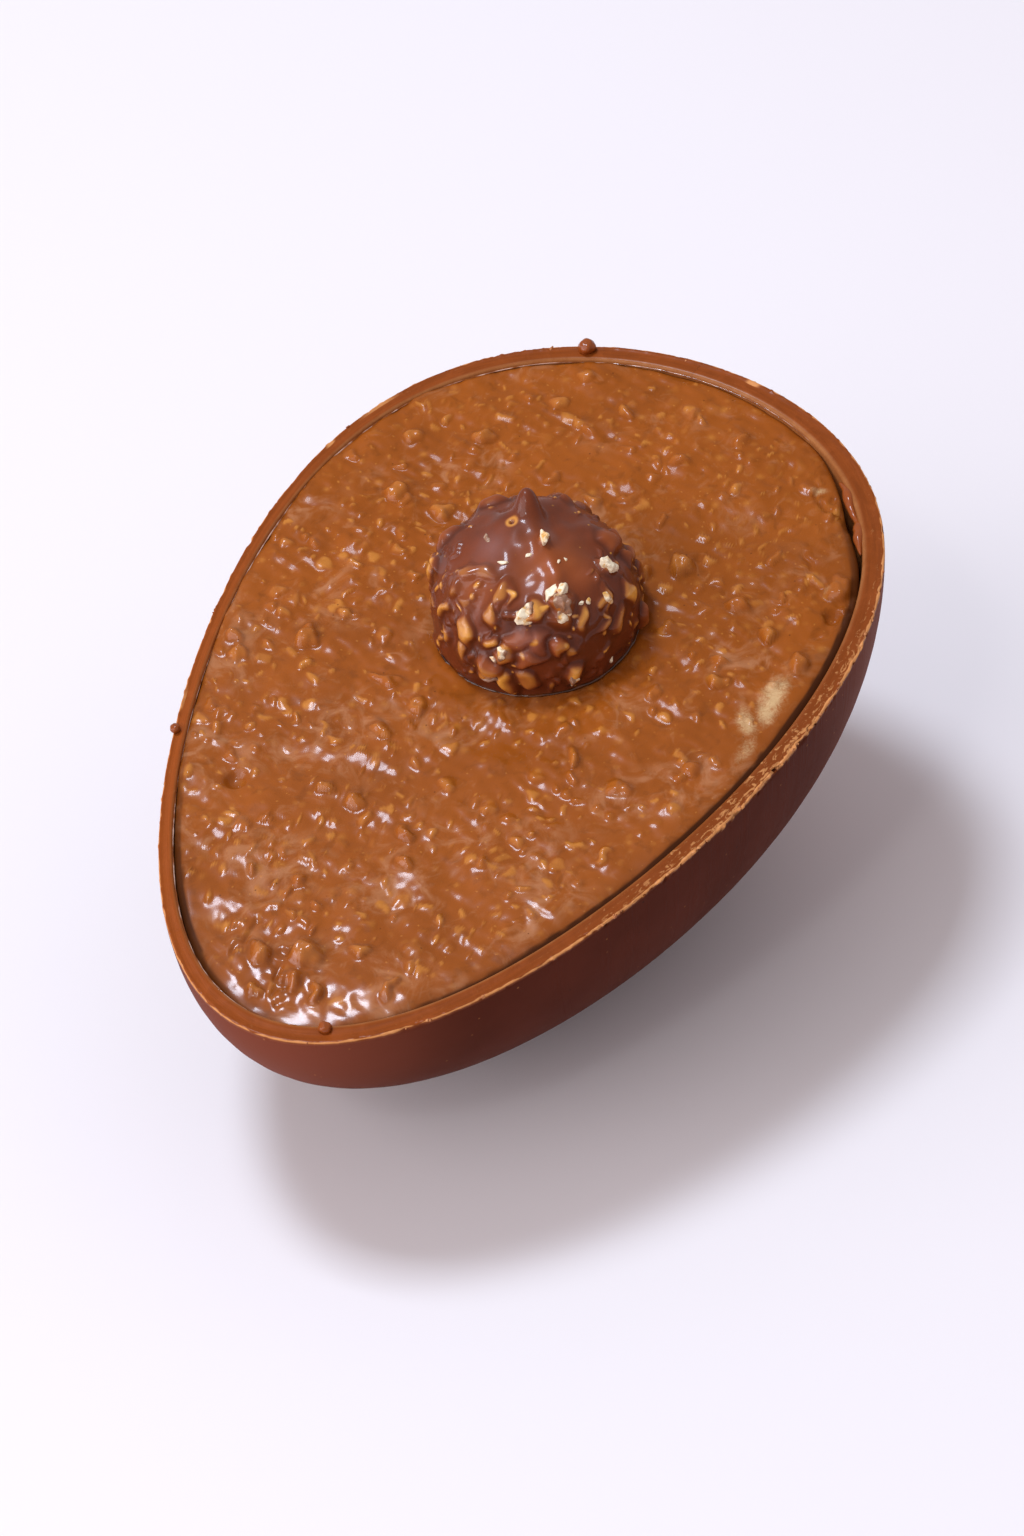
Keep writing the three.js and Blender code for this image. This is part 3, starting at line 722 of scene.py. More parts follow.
def cream_finish(look):
    """Glossy caramel cream: golden nut under a thin coat, with painted light and shade.

    Its milk-pale streaks are partly painted sheen, one of its pale bloom patches is a painted
    highlight, and shade is painted round the feet of tall lumps, in the crevice at the wall and
    in pinholes.
    """
    paint = Finish("nut_cream_gloss", Specular_IOR_Level=0.06, Coat_Roughness=0.15)
    nut, bed, bloom, milky, amber, seam, wet = paint.attributes(
        "nut", "bed", "bloom", "milky", "amber", "seam", "wet")
    tone = paint.noise(12, 3, 0.6)
    mottle = paint.noise(2.6, 3, 0.6, 0.6)
    veins = paint.noise(3.2, 4, 0.6, 1.2)
    swirls = paint.noise(5.5, 4, 0.6, 1.3)
    fine = paint.noise(0.7, 3, 0.6)
    speckle = paint.noise(0.8, 4, 0.7, 1.5)
    warped = paint.warp(1.8, 0.9)
    sunk = paint.spots(2.1, 0.10, 0.34, warped) * paint.cell_draw(2.1, warped).step(0.55, 0.75)
    chips = paint.spots(1.0, 0.08, 0.22, warped) * paint.cell_draw(1.0, warped).step(0.74, 0.80)
    colour = paint.layered(
        look.cream,
        (tone.step(0.3, 0.7), shade(look.cream, (0.84, 0.82, 0.78))),
        (mottle.step(0.52, 0.72) * 0.55, shade(look.cream, 0.62)),
        # milk-pale streaks, partly painted sheen
        (veins.step(0.55, 0.80) * 0.30, look.haze),
        (milky * swirls.step(0.44, 0.70) * 0.50, look.haze),
        # painted shade round the feet of tall lumps
        (bed * (fine * 0.6 + 0.05), shade(look.cream, 0.50)),
        (amber * 0.8, AMBER_COAT),
        (sunk * 0.16, look.nut),
        (chips * 0.35, look.nut),
        (nut * (0.45 + fine * 0.5), look.nut),
        # painted shade in the crevice along the wall
        (seam, CREVICE_SHADE_DARK),
        # pale bloom, and one painted highlight by the gap
        ((bloom * (speckle * 1.5 + veins * 1.4)).step(0.50, 1.45) * 0.68, BLOOM_AND_HIGHLIGHT_PALE),
        # painted shade: dark pinholes, with no relief under them
        (paint.spots(3.7, 0.022, 0.045) * 0.7, shade(look.cream, 0.3)))
    rough = 0.30 + fine * 0.10 + bloom * 0.12
    relief = paint.bump(paint.noise(1.6, 2, 0.5), 0.035, 0.5)
    glints = paint.spots(1.9, 0.03, 0.07)
    relief = paint.bump(glints + chips * 0.7, 0.04, 0.6, under=relief)
    coat = (1 - seam) * (0.08 + swirls * 0.15 + amber * 0.3 + wet * 0.60 - bloom * 0.15)
    return paint.surface(Base_Color=colour, Roughness=rough, Coat_Weight=coat, Normal=relief)


def praline_finish(look):
    """Dark glossy coat that turns golden where nuts press through it."""
    paint = Finish("praline_coat_gloss", Specular_IOR_Level=0.14, Coat_Roughness=0.11)
    gold, gap, blush, haze = paint.attributes("gold", "gap", "blush", "haze")
    tone = paint.noise(5, 3, 0.6)
    fine = paint.noise(0.8, 3, 0.6)
    fleck = paint.spots(1.7, 0.06, 0.13) * paint.noise(2.5, 1, 0.5).step(0.5, 0.62)
    amber = tuple(0.35 * a + 0.65 * b for a, b in zip(look.gold, look.blush))
    colour = paint.layered(
        look.coat,
        (tone.step(0.3, 0.7), shade(look.coat, 0.72)),
        # painted shade in the gaps beside tall nuts
        (gap * 0.60, shade(look.coat, 0.36)),
        # blush over nuts, and painted light on lit patches of the coat
        (blush * (0.2 + tone * 0.9), look.blush),
        # painted sheen: milk-pale patches of reflected light on the coat
        (haze * (0.1 + tone * 0.6), SHEEN_COAT),
        (fleck * 0.5, look.gold),
        (gold.step(0.02, 0.50) * 0.85, amber),
        ((gold * (0.6 + fine * 0.8)).step(0.40, 1.05), look.gold))
    relief = paint.bump(paint.noise(1.6, 3, 0.5), 0.06, 0.5)
    return paint.surface(Base_Color=colour, Roughness=0.36 + fine * 0.10,
                         Coat_Weight=tone * 0.7 + gold * 0.8, Normal=relief)


def bare_nut_finish(look):
    """Broken nut: pale flesh with toasted and chocolate-stained patches."""
    paint = Finish("bare_nut", Specular_IOR_Level=0.5)
    [skin] = paint.attributes("skin")
    toast = paint.noise(1.3, 3, 0.6)
    stain = paint.noise(2.1, 2, 0.5)
    colour = paint.layered(
        look.bare,
        (toast.step(0.48, 0.68), TOASTED_NUT),
        ((stain + skin * 0.35).step(0.62, 0.72) * 0.9, STAINED_NUT))
    relief = paint.bump(paint.noise(0.5, 3, 0.6), 0.12, 0.8)
    return paint.surface(Base_Color=colour, Roughness=0.26 + toast * 0.2, Normal=relief)


def scraped_finish(look):
    """Fresh crumbs of scraped chocolate."""
    paint = Finish("scraped_chocolate", Specular_IOR_Level=0.4)
    tone = paint.noise(1.2, 3, 0.6)
    colour = paint.layered(look.scraped, (tone.step(0.35, 0.65), look.rim))
    return paint.surface(Base_Color=colour, Roughness=0.45 + tone * 0.2)


def melted_finish(look):
    """Smooth beads and strings of melted shell chocolate."""
    paint = Finish("melted_chocolate", Specular_IOR_Level=0.1, Coat_Roughness=0.12, Coat_Weight=0.5)
    tone = paint.noise(1.8, 2, 0.5)
    colour = paint.layered(shade(look.rim, 1.15), (tone.step(0.3, 0.7), look.rim))
    return paint.surface(Base_Color=colour, Roughness=0.28 + tone * 0.1)


def oil_finish(look):
    """Thin line of clear nut oil where pieces meet: very glossy, dark on some lines and painted
    pale as a highlight on others.
    """
    paint = Finish("nut_oil", Roughness=0.08, Specular_IOR_Level=0.3,
                   Coat_Weight=0.7, Coat_Roughness=0.03)
    [pale] = paint.attributes("pale")
    tone = paint.noise(2.5, 2, 0.5)
    return paint.surface(Base_Color=paint.layered(
        shade(look.cream, 0.10),
        (tone.step(0.3, 0.7), shade(look.cream, 0.35)),
        # painted highlight: pale lines that stand for a bright meniscus
        (pale, shade(look.cream, 0.80)),
        (pale * tone.step(0.40, 0.65), OIL_HIGHLIGHT)))


def floor_finish(colour):
    """Plain pale floor with a very faint tone."""
    paint = Finish("pale_floor", Roughness=0.75, Specular_IOR_Level=0.2)
    tone = paint.noise(300, 1, 0.5)
    return paint.surface(Base_Color=paint.layered(colour, (tone, shade(colour, 0.985))))


# ---------------------------------------------------------------- shell

AROUND = 1400  # vertices along the outline
WEAR_TURN, WEAR_SPAN = 268.0, 66.0  # most worn stretch of the rim, in degrees
LEAST_WEAR = 0.18
# Rings of the two skins: slopes in degrees that say how far they are drawn in from the outline.
OUTER_SLOPES = np.concatenate([np.linspace(88, 8, 26), [6, 4.5, 3.2, 2.2, 1.5]])
INNER_SLOPES = np.concatenate([[3, 5], np.linspace(10, 86, 9)])
OUTSIDE, INSIDE = -1.0, 2.0  # stand for a share across the rim on the two skins
RIM_PROFILE = np.array([
    # share across the rim, height
    [0.000, -0.90], [0.000, -0.55], [0.000, -0.30], [0.004, -0.12], [0.016, 0.00],
    [0.040, 0.08], [0.080, 0.12], [0.130, 0.12], [0.190, 0.08], [0.260, 0.03], [0.340, 0.00],
    [0.430, -0.01], [0.520, -0.01], [0.610, 0.00], [0.700, 0.01], [0.780, 0.00],
    [0.850, -0.04], [0.910, -0.12], [0.960, -0.25], [0.990, -0.45], [1.000, -0.70],
])


def ring_turns(count):
    """Even turns once round, in radians."""
    return 2 * np.pi * np.arange(count) / count


def bell(turn, middle, span):
    """Bell of height 1 over a stretch of the outline, in degrees: exp(-(2 away / span)^2)."""
    away = (np.degrees(turn) - middle + 180) % 360 - 180
    return np.exp(-((2 * away / span) ** 2))


def rim_wear(turn):
    """Wear along the rim: slight all round, most on the near side below the praline."""
    # The shell's finish also paints shade on the near rim by this curve.
    return LEAST_WEAR + (1 - LEAST_WEAR) * bell(turn, WEAR_TURN, WEAR_SPAN)


def bowl_ring(turn, slope, inset):
    """Ring of a skin at a slope in degrees: the outline drawn in by its cosine."""
    pole = PRALINE_CENTRE[:2]
    plan = pole + (outline(turn, inset) - pole) * math.cos(math.radians(slope))
    return np.column_stack([plan, bowl_height(plan[:, 0], plan[:, 1], inset)])


def shell_rings(chip_depth):
    """Rings from the outer bottom over the rim to the inner bottom, and their across share."""
    turn = ring_turns(AROUND)
    rings = [bowl_ring(turn, slope, 0) for slope in OUTER_SLOPES]
    outer, inner = outline(turn, 0), outline(turn, WALL)
    for share, height in RIM_PROFILE:
        plan = outer + (inner - outer) * share
        rings.append(np.column_stack([plan, np.full(AROUND, height)]))
    rings += [bowl_ring(turn, slope, WALL) for slope in INNER_SLOPES]
    shares = np.concatenate([
        np.full(len(OUTER_SLOPES), OUTSIDE), RIM_PROFILE[:, 0], np.full(len(INNER_SLOPES), INSIDE)])
    rings = np.array(rings)
    wear_edge(rings, shares, turn, chip_depth)
    return rings, shares


def ridges(points, wavelength, seed, floor):
    """What stands above a floor in a ripple, and 0 elsewhere."""
    return np.maximum(ripple(points, wavelength, seed) - floor, 0)


def wear_edge(rings, shares, turn, chip_depth):
    """Chips and burrs: the outer edge is moved in, out and up by ridged ripples."""
    outer = outline(turn, 0)
    tangent = np.roll(outer, -1, axis=0) - np.roll(outer, 1, axis=0)
    normal = np.column_stack([tangent[:, 1], -tangent[:, 0]])
    normal /= np.linalg.norm(normal, axis=1, keepdims=True)
    wear = rim_wear(turn)
    for ring, share in zip(rings, shares):
        height = ring[:, 2]
        near = smoothstep(height, -0.9, -0.15) * (1 - smoothstep(share, 0.06, 0.30))
        if share > 0.5 or not near.any():
            continue
        place = ring * np.array([1, 1, 1.6])
        chips = ridges(place, 2.6, 5, 1.0) + ridges(place, 1.1, 6, 1.1)
        burrs = ridges(place, 1.4, 7, 0.9)
        push = 0.7 * burrs - 0.8 * chips + 0.15 * ripple(place, 4.5, 8)
        lift = 0.8 * burrs - 0.5 * chips + 0.15 * ripple(place, 0.9, 9)
        ring[:, :2] += normal * (near * wear * chip_depth * push)[:, None]
        ring[:, 2] += near * wear * chip_depth * lift


# Pale marks on the outer edge: middle and span in degrees, reach down the outside, strength.
EDGE_MARKS = ((-9, 2.2, 1.1, 1.0), (52, 9, 0.5, 0.6), (62, 2, 1.0, 0.8), (108, 5, 0.4, 0.5))
# Painted light: the far stretch of the rim is painted paler, as if lit more.
PALE_RIM_TURN, PALE_RIM_SPAN = 125.0, 110.0  # paler stretch of the rim on the far side


def shell_marks(rings, shares):
    """Marks of the vertices.

    They are the rim band, its scraped edge line, the distances along and across the rim, how
    worn it is (a mark by which the rim's near side is also painted darker as shade), its
    paler far stretch, which is painted light, and the painted light that makes the outside
    paler: at the narrow end, and nearly as much from the middle to the wide end.
    """
    count = len(shares)
    turn = np.broadcast_to(ring_turns(AROUND), (count, AROUND))
    share = np.broadcast_to(shares[:, None], (count, AROUND))
    x, height = rings[..., 0], rings[..., 2]
    wear = rim_wear(turn)
    rim = np.where(share < 0, 0, smoothstep(height, -0.50, -0.12))
    rim = np.where(share > 0.5, 1, rim)
    width = 0.055 + 0.05 * wear + 0.020 * ripple(rings, 2.4, 10)
    line = smoothstep(height, -0.22, -0.02) * (1 - smoothstep(share - width, -0.02, 0.035))
    line = np.where((share < 0) | (share > 0.5), 0, line * (0.62 + 0.38 * wear))
    for middle, span, reach, strength in EDGE_MARKS:
        mark = bell(turn, middle, span) * smoothstep(height, -reach, -0.3 * reach)
        line = np.maximum(line, np.where(share < 0.3, strength * mark, 0))
    marks = {
        "rim": rim,
        "edge": line,
        "along": turn * HALF_LENGTH,
        "across": np.clip(share, 0, 1) * WALL,
        "wear": wear,
        "far": bell(turn, PALE_RIM_TURN, PALE_RIM_SPAN),
        # painted light on the outside
        "faded": smoothstep(-x, 50, 72) + 0.85 * smoothstep(x, 5, 40),
    }
    return {key: np.concatenate([[0], grid.ravel(), [0]]) for key, grid in marks.items()}


def flatten_rest(points):
    """The bottom is pressed flat on the ground where the solid's resting flat is."""
    under = np.minimum(points @ PITCH[2] + STAND[2], 0)
    return points - under[:, None] * PITCH[2]


class EGG_OT_shell(bpy.types.Operator):
    """Moulds the shell with its trimmed, chipped rim"""

    bl_idname = "egg.shell"
    bl_label = "Shell"

    def execute(self, context):
        look = context.scene.egg_shell
        rings, shares = shell_rings(look.chip / MM)
        pole = PRALINE_CENTRE[:2]
        bottoms = [np.append(pole, bowl_height(*pole, inset)) for inset in (0, WALL)]
        points, quads, triangles = rings_to_mesh(rings, *bottoms)
        points = flatten_rest(points)
        make_piece("shell_body", (points, quads, triangles), shell_finish(look),
                   "shell_chocolate", "shell", **shell_marks(rings, shares))
        return {"FINISHED"}


# ---------------------------------------------------------------- trimmings of the rim

# Beads of spilt chocolate: turn in degrees, share across the rim, radius, rise.
RIM_BEADS = [(17.5, 0.3, 1.3, 0.7), (113, 0.15, 0.75, 0.5), (194, 0.75, 0.9, 0.35)]


def rim_place(degrees, share, height):
    """Point on the rim at a turn in degrees, a share of the way across, and a height."""
    turn = np.radians(np.asarray(degrees, float))
    share = np.expand_dims(share, -1)
    plan = outline(turn, 0) * (1 - share) + outline(turn, WALL) * share
    return np.concatenate([plan, np.broadcast_to(height, plan.shape[:-1])[..., None]], -1)


def melted_beads():
    """Balls of spilt chocolate: a sphere times 1 plus a small ripple, a little flattened."""
    parts = []
    for seed, (turn, share, radius, rise) in enumerate(RIM_BEADS):
        ball = chunk_sphere(18, 26)
        flat = np.array([1, 1, 0.85])
        wobble = 1 + 0.05 * ripple(ball * 3, 3.0, 40 + seed)[..., None]
        centre = rim_place(turn, share, rise)
        points, quads, triangles = rings_to_mesh(ball * wobble, [0, 0, -1.0], [0, 0, 1.0])
        parts.append((centre + points * radius * flat, quads, triangles))
    return parts


def hanging_string():
    """String in the gap: a tube that swings along the inner wall and swells into two bulges."""
    share = np.linspace(-0.5, 0.5, 120)
    depth = STRING_DEPTH + 0.25 * np.cos(11 * share)
    degrees = SHRINK_TURN + share * STRING_SPAN * 1.25
    path = rim_place(degrees, 1.08 + 0.05 * np.sin(13 * share), -depth)
    bulges = 0.22 * np.cos(4 * np.pi * share + np.pi) + 0.05 * np.sin(31 * share)
    swell = STRING_RADIUS * (0.78 + bulges)
    taper = np.sqrt(np.clip(1 - (2 * share) ** 6, 0.001, 1))
    return swept_tube(path, swell * taper, 18, 51, 0.05)


class EGG_OT_rim_trimmings(bpy.types.Operator):
    """Sets the crumbs, the spilt beads and the hanging string on the rim"""

    bl_idname = "egg.rim_trimmings"
    bl_label = "Rim trimmings"

    def execute(self, context):
        look = context.scene.egg_shell
        rng = np.random.default_rng(71)
        turns = rng.uniform(0, 360, look.crumbs * 20)
        chance = rng.uniform(0, 1, len(turns))
        kept = turns[chance < rim_wear(np.radians(turns)) ** 2][:look.crumbs]
        crumbs = []
        for seed, turn in enumerate(kept):
            size = 0.08 + 0.20 * rng.uniform() ** 2.2
            place = rim_place(turn, rng.uniform(-0.02, 0.10), rng.uniform(-0.15, 0.14))
            reach = size * np.array([1.6, 1.1, 0.8]) * rng.uniform(0.7, 1.3, 3)
            crumbs.append(chunk(place, reach, 6, 900 + seed, 4, 7))
        make_piece("rim_crumbs", joined(crumbs), scraped_finish(look), "shell_chocolate")
        make_piece("spilt_beads", joined(melted_beads() + [hanging_string()]),
                   melted_finish(look), "shell_chocolate")
        return {"FINISHED"}


# ---------------------------------------------------------------- cream

CREAM_CELLS = 306  # along each side of the sheet
CREAM_INSET = WALL + 0.06
SHEET_CENTRE = np.array([4.0, HOLLOW_SHIFT])
# Rings below the sheet: slope in degrees, and the share of the shrinkage that they follow.
CREAM_RINGS = ((4, 1), (9, 1), (35, 0), (65, 0))
CREAM_RADIUS = 40.0  # mean, over which a ring's shrinkage becomes a share
HOLLOW_SHARE = 0.9  # roughly the hollow's outline over the egg's
# Turns the plan and shortens it 2.2 times along one way, so that ripples on it are drawn out.
FLOW = np.array([[0.125, 0.960], [0.436, -0.275]])
BROAD_RIPPLE, FINE_RIPPLE, NARROW_END_RIPPLE = 0.09, 0.018, 0.07  # heights
DRAWN_RIPPLE, DRAWN_RIPPLE_EXTRA = 0.036, 0.018  # the extra comes in towards the wide end
DRIFT = 0.28  # how far the outlines of nuts are pushed about
EVEN_PLACES = 4000
SOLID_LUMPS = 50  # smaller lumps that the solid has too
FIRST_SLIVER = 1600  # place in the even sequence
FOLDS = np.array([  # shallow valleys: x, y, x, y, width, depth
    [50.5, -25.5, 46, -34, 0.8, 0.7],
    [38, -30.5, 33, -33.5, 0.9, 0.35],
    [34, -39.5, 26, -38.5, 1.0, 0.5],
    [-51, 9, -57, 9.5, 0.7, 0.35],
    [-56, 3.5, -61, 1, 0.7, 0.5],
])


def cream_waves(x, y):
    """Soft waves of the poured cream, as in the solid."""
    long = 0.22 * np.sin(0.19 * x + 0.11 * y + 0.8) * np.cos(0.23 * y - 0.05 * x)
    short = 0.13 * np.sin(0.47 * x - 0.31 * y) * np.sin(0.41 * y + 0.17 * x + 1.1)
    return long + short


def cream_level(x, y):
    """Height of the cream without its nuts: a plane that tilts across, with the waves."""
    return CREAM_LEVEL + CREAM_SLOPE * y + cream_waves(x, y)


def shrink_at(turn):
    """Width of the gap between cream and wall, along the shrunken stretch."""
    return SHRINK_WIDTH * bell(turn, SHRINK_TURN, SHRINK_SPAN)


def shoulder_width(turn):
    """Width of the rounded edge, which is broad round the narrow end."""
    return CREAM_SHOULDER + BROAD_SHOULDER * bell(turn, BROAD_TURN, BROAD_SPAN)


def crevice_depth(turn):
    """Drop of the edge at the wall, from the far side's thin line to the near side."""
    nearness = -np.cos(turn - math.radians(FAR_TURN))
    return SHALLOW_CREVICE + (DEEP_CREVICE - SHALLOW_CREVICE) * smoothstep(nearness, -0.35, 0.45)


def near_side(angle):
    """Share from 0 at the far wall to 1 at the near wall."""
    return smoothstep(-np.cos(angle - math.radians(FAR_TURN)), -0.5, 0.3)


def free_places(count, start, from_wall, from_praline, from_lumps, calm=0.0):
    """Places of the even sequence in the cream, at least so far from what they keep clear of.

    A calm strip of the given width is kept free along the near wall besides.
    """
    n, across_x, across_y = even_places(EVEN_PLACES)
    x = HALF_LENGTH * (2 * across_x - 1)
    y = WIDEST * (2 * across_y - 1)
    in_wall = half_width(x / HOLLOW_SHARE) * HOLLOW_SHARE - np.abs(y - HOLLOW_SHIFT)
    near_wall = np.maximum(smoothstep(-y, 0, 15), smoothstep(-x, 50, 58))
    in_wall -= calm * near_side(np.arctan2(y, x)) * near_wall
    off_ball = np.hypot(x - PRALINE_CENTRE[0], y - PRALINE_CENTRE[1]) - PRALINE_RADIUS
    off_lump = np.hypot(x[:, None] - CREAM_LUMPS[:, 0], y[:, None] - CREAM_LUMPS[:, 1])
    off_lump = (off_lump - CREAM_LUMPS[:, 2]).min(axis=1)
    free = (in_wall > from_wall) & (off_ball > from_praline) & (off_lump > from_lumps)
    return [values[free][start: start + count] for values in (n, x, y)]


def lump_table(small_count):
    """Largest lumps, the solid's smaller ones, and low ones that crowd together in places."""
    n, x, y = free_places(SOLID_LUMPS, 0, from_wall=2.5, from_praline=3, from_lumps=1.2)
    size = 1.5 - 0.6 * np.arange(len(n)) / SOLID_LUMPS
    rise = size * (0.30 + 0.30 * draw(n, 2))
    low = free_places(2 * small_count, SOLID_LUMPS,
                      from_wall=-1.5, from_praline=0.6, from_lumps=0.2, calm=4.5)
    crowded = ripple(np.column_stack(low[1:]), 17.0, 35) > -0.5
    low_n, low_x, low_y = (values[crowded][:small_count] for values in low)
    low_size = 0.50 + 0.85 * draw(low_n, 4) ** 1.5
    low_rise = low_size * (0.12 + 0.38 * draw(low_n, 2) ** 2)
    n, x, y = (np.concatenate(pair) for pair in ((n, low_n), (x, low_x), (y, low_y)))
    size, rise = np.concatenate([size, low_size]), np.concatenate([rise, low_rise])
    narrow = 0.55 + 0.4 * draw(n, 1)
    golden = smoothstep(draw(n, 7), 0.45, 0.95)
    small = np.column_stack([x, y, size, size * narrow, rise, 360 * draw(n, 3), golden])
    return np.concatenate([CREAM_LUMPS, small]), np.concatenate([np.arange(len(CREAM_LUMPS)), n])


def sliver_table(count):
    """Flat slivers of nut, long and narrow, all golden, after the golden bits."""
    n, x, y = free_places(count, FIRST_SLIVER,
                          from_wall=-1.0, from_praline=0.8, from_lumps=0.0, calm=3.5)
    size = 0.50 + 0.70 * draw(n, 24) ** 1.5
    narrow = 0.40 + 0.35 * draw(n, 25)
    rise = 0.10 + 0.22 * draw(n, 26)
    golden = 0.55 + 0.45 * draw(n, 28)
    slivers = np.column_stack([x, y, size, size * narrow, rise, 360 * draw(n, 27), golden])
    bits = np.column_stack([GOLDEN_BITS[:, :4], 0.35 * GOLDEN_BITS[:, 3], GOLDEN_BITS[:, 4],
                            np.ones(len(GOLDEN_BITS))])
    bit_seeds = EVEN_PLACES + 1 + np.arange(len(bits))
    return np.concatenate([bits, slivers]), np.concatenate([bit_seeds, n])


def raise_relief(relief, near, rise):
    """Joins a rise to a relief at some of its places: the cube root of the sum of cubes."""
    relief[near] = (relief[near] ** 3 + rise ** 3) ** (1 / 3)


def keep_larger(mark, near, value):
    """Raises a mark to a value at some of its places where it is smaller."""
    mark[near] = np.maximum(mark[near], value)


def lean_share(east, north, half_length, seed, channel):
    """Distance along a direction drawn for each nut, over the nut's half length."""
    return turned(east, north, 360 * draw(seed, channel))[0] / half_length


def shaded_foot(size, rise, middle, width):
    """Painted shade in a ring round the foot of a tall nut: a bell over the size of its outline."""
    return np.exp(-(((size - middle) / width) ** 2)) * smoothstep(rise, 0.3, 1.2)


def press_lumps(x, y, lumps, seeds):
    """Relief of the lumps, joined one by one, and marks of nut, painted foot shade and amber coat.
    """
    relief, nut, bed, amber = np.zeros((4, len(x)))
    for lump, seed in zip(lumps, seeds):
        middle_x, middle_y, half_length, half_breadth, rise, turn, gold = lump
        near = np.flatnonzero(np.hypot(x - middle_x, y - middle_y) < 2.3 * half_length)
        east, north = x[near] - middle_x, y[near] - middle_y
        share, size = stone_relief(
            east, north, (half_length, half_breadth, turn), int(seed), 0.30, 2.3)
        lit = 1 + 0.5 * lean_share(east, north, half_length, seed, 17)
        raise_relief(relief, near, rise * share)
        keep_larger(nut, near, smoothstep(share * lit, 0.15, 0.9) * (0.15 + 0.85 * gold))
        keep_larger(bed, near, shaded_foot(size, rise, 1.15, 0.22))
        keep_larger(amber, near, smoothstep(share, 0.05, 0.6) * smoothstep(rise, 0.1, 0.6))
    return relief, nut, bed, amber


def add_grains(x, y, height, nut, count):
    """Finest grains: low bells on the even sequence, some of them golden."""
    for n, across_x, across_y in zip(*even_places(count)):
        middle_x = HALF_LENGTH * (2 * ((across_x + 0.37) % 1) - 1)
        middle_y = WIDEST * (2 * ((across_y + 0.11) % 1) - 1)
        reach = 0.30 + 0.30 * draw(n, 21)
        distance = np.hypot(x - middle_x, y - middle_y)
        near = np.flatnonzero(distance < 2.6 * reach)
        dome = np.exp(-((distance[near] / reach) ** 2))
        height[near] += 0.10 * reach * (0.2 + draw(n, 22)) * dome
        keep_larger(nut, near, dome * smoothstep(draw(n, 23), 0.55, 0.9) * 0.7)


def milky_and_sheen_areas(flat):
    """Where the cream is milk-pale, partly as painted sheen: broad areas, most at the narrow end.
    """
    return smoothstep(ripple(flat, 20.0, 38) - flat[:, 0] / 80, -0.6, 1.4)


def fold_depth(flat):
    """Depth of the shallow valleys: bells over the distance to straight stretches."""
    depth = np.zeros(len(flat))
    for start_x, start_y, end_x, end_y, width, drop in FOLDS:
        start, span = np.array([start_x, start_y]), np.array([end_x - start_x, end_y - start_y])
        share = np.clip((flat - start) @ span / (span @ span), 0, 1)
        away = np.linalg.norm(flat - start - share[:, None] * span, axis=1) / width
        depth = np.maximum(depth, drop * np.exp(-away * away))
    return depth


def cream_surface(look, radius, angle):
    """Points of the sheet over the hollow, and its marks.

    Its height is the level with ripples, of which those along the flow are drawn out, plus the
    relief of lumps, slivers and grains, less folds and pits. A quarter round drops it at the
    wall, and the pocket sinks it under the praline.
    """
    rim_line = outline(angle, CREAM_INSET)
    reach = np.linalg.norm(rim_line - SHEET_CENTRE, axis=1)
    share = radius * (1 - shrink_at(angle) / reach)
    flat = SHEET_CENTRE + (rim_line - SHEET_CENTRE) * share[:, None]
    x, y = flat.T
    drift = np.column_stack([ripple(flat, 3.2, seed) for seed in (33, 34)])
    drifted = (flat + DRIFT * drift).T
    from_edge = edge_distance(x, y, CREAM_INSET) - shrink_at(angle)
    calm = 1 - near_side(angle) * (1 - smoothstep(from_edge, 0.5, 5.0))
    stroke = flat @ FLOW
    drawn = DRAWN_RIPPLE + DRAWN_RIPPLE_EXTRA * smoothstep(x, -15, 30)
    waves = BROAD_RIPPLE * ripple(flat, 8.0, 31, 40) + drawn * ripple(stroke, 2.7, 32, 60)
    height = cream_level(x, y) + calm * (waves + FINE_RIPPLE * ripple(flat, 2.2, 39, 60))
    end_ripple = NARROW_END_RIPPLE * smoothstep(-x, 50, 58) * ripple(stroke, 2.6, 36, 60)
    height += end_ripple * smoothstep(from_edge, 0.5, 2.5)
    relief, nut, bed, amber = press_lumps(*drifted, *lump_table(look.small_nuts))
    chips, gilt = press_lumps(*drifted, *sliver_table(look.slivers))[:2]
    relief = np.maximum(relief, chips) * (1 + 0.10 * ripple(flat, 1.6, 37, 60))
    height += relief - fold_depth(flat + 0.5 * drift)
    nut = np.maximum(nut, gilt)
    add_grains(x, y, height, nut, look.grains)
    for pit_x, pit_y, size in PITS:
        height -= 0.8 * size * np.exp(-((np.hypot(x - pit_x, y - pit_y) / size) ** 4))
    inward = np.clip(1 - from_edge / shoulder_width(angle), 0, 1)
    narrow_end = bell(angle, BROAD_TURN, 1.2 * BROAD_SPAN)
    height -= 0.8 * narrow_end * np.clip(1 - from_edge / 9, 0, 1) ** 2
    quarter_round = 1 - np.sqrt(1 - inward ** 2.0 * 0.98)
    height -= crevice_depth(angle) * (1 - 0.45 * narrow_end) * quarter_round
    height = sink_pocket(x, y, height)
    marks = {
        "nut": nut,
        "bed": bed,
        "bloom": bloom_and_highlight_marks(x, y),
        "milky": milky_and_sheen_areas(flat) * (1 - nut),
        "amber": amber,
        "seam": wall_crevice_shade(from_edge + 0.05 * drift[:, 0], angle),
        "wet": 0.4 * smoothstep(-x, -30, 30) + 0.45 * smoothstep(-x, 46, 58),
    }
    return np.column_stack([x, y, height]), marks


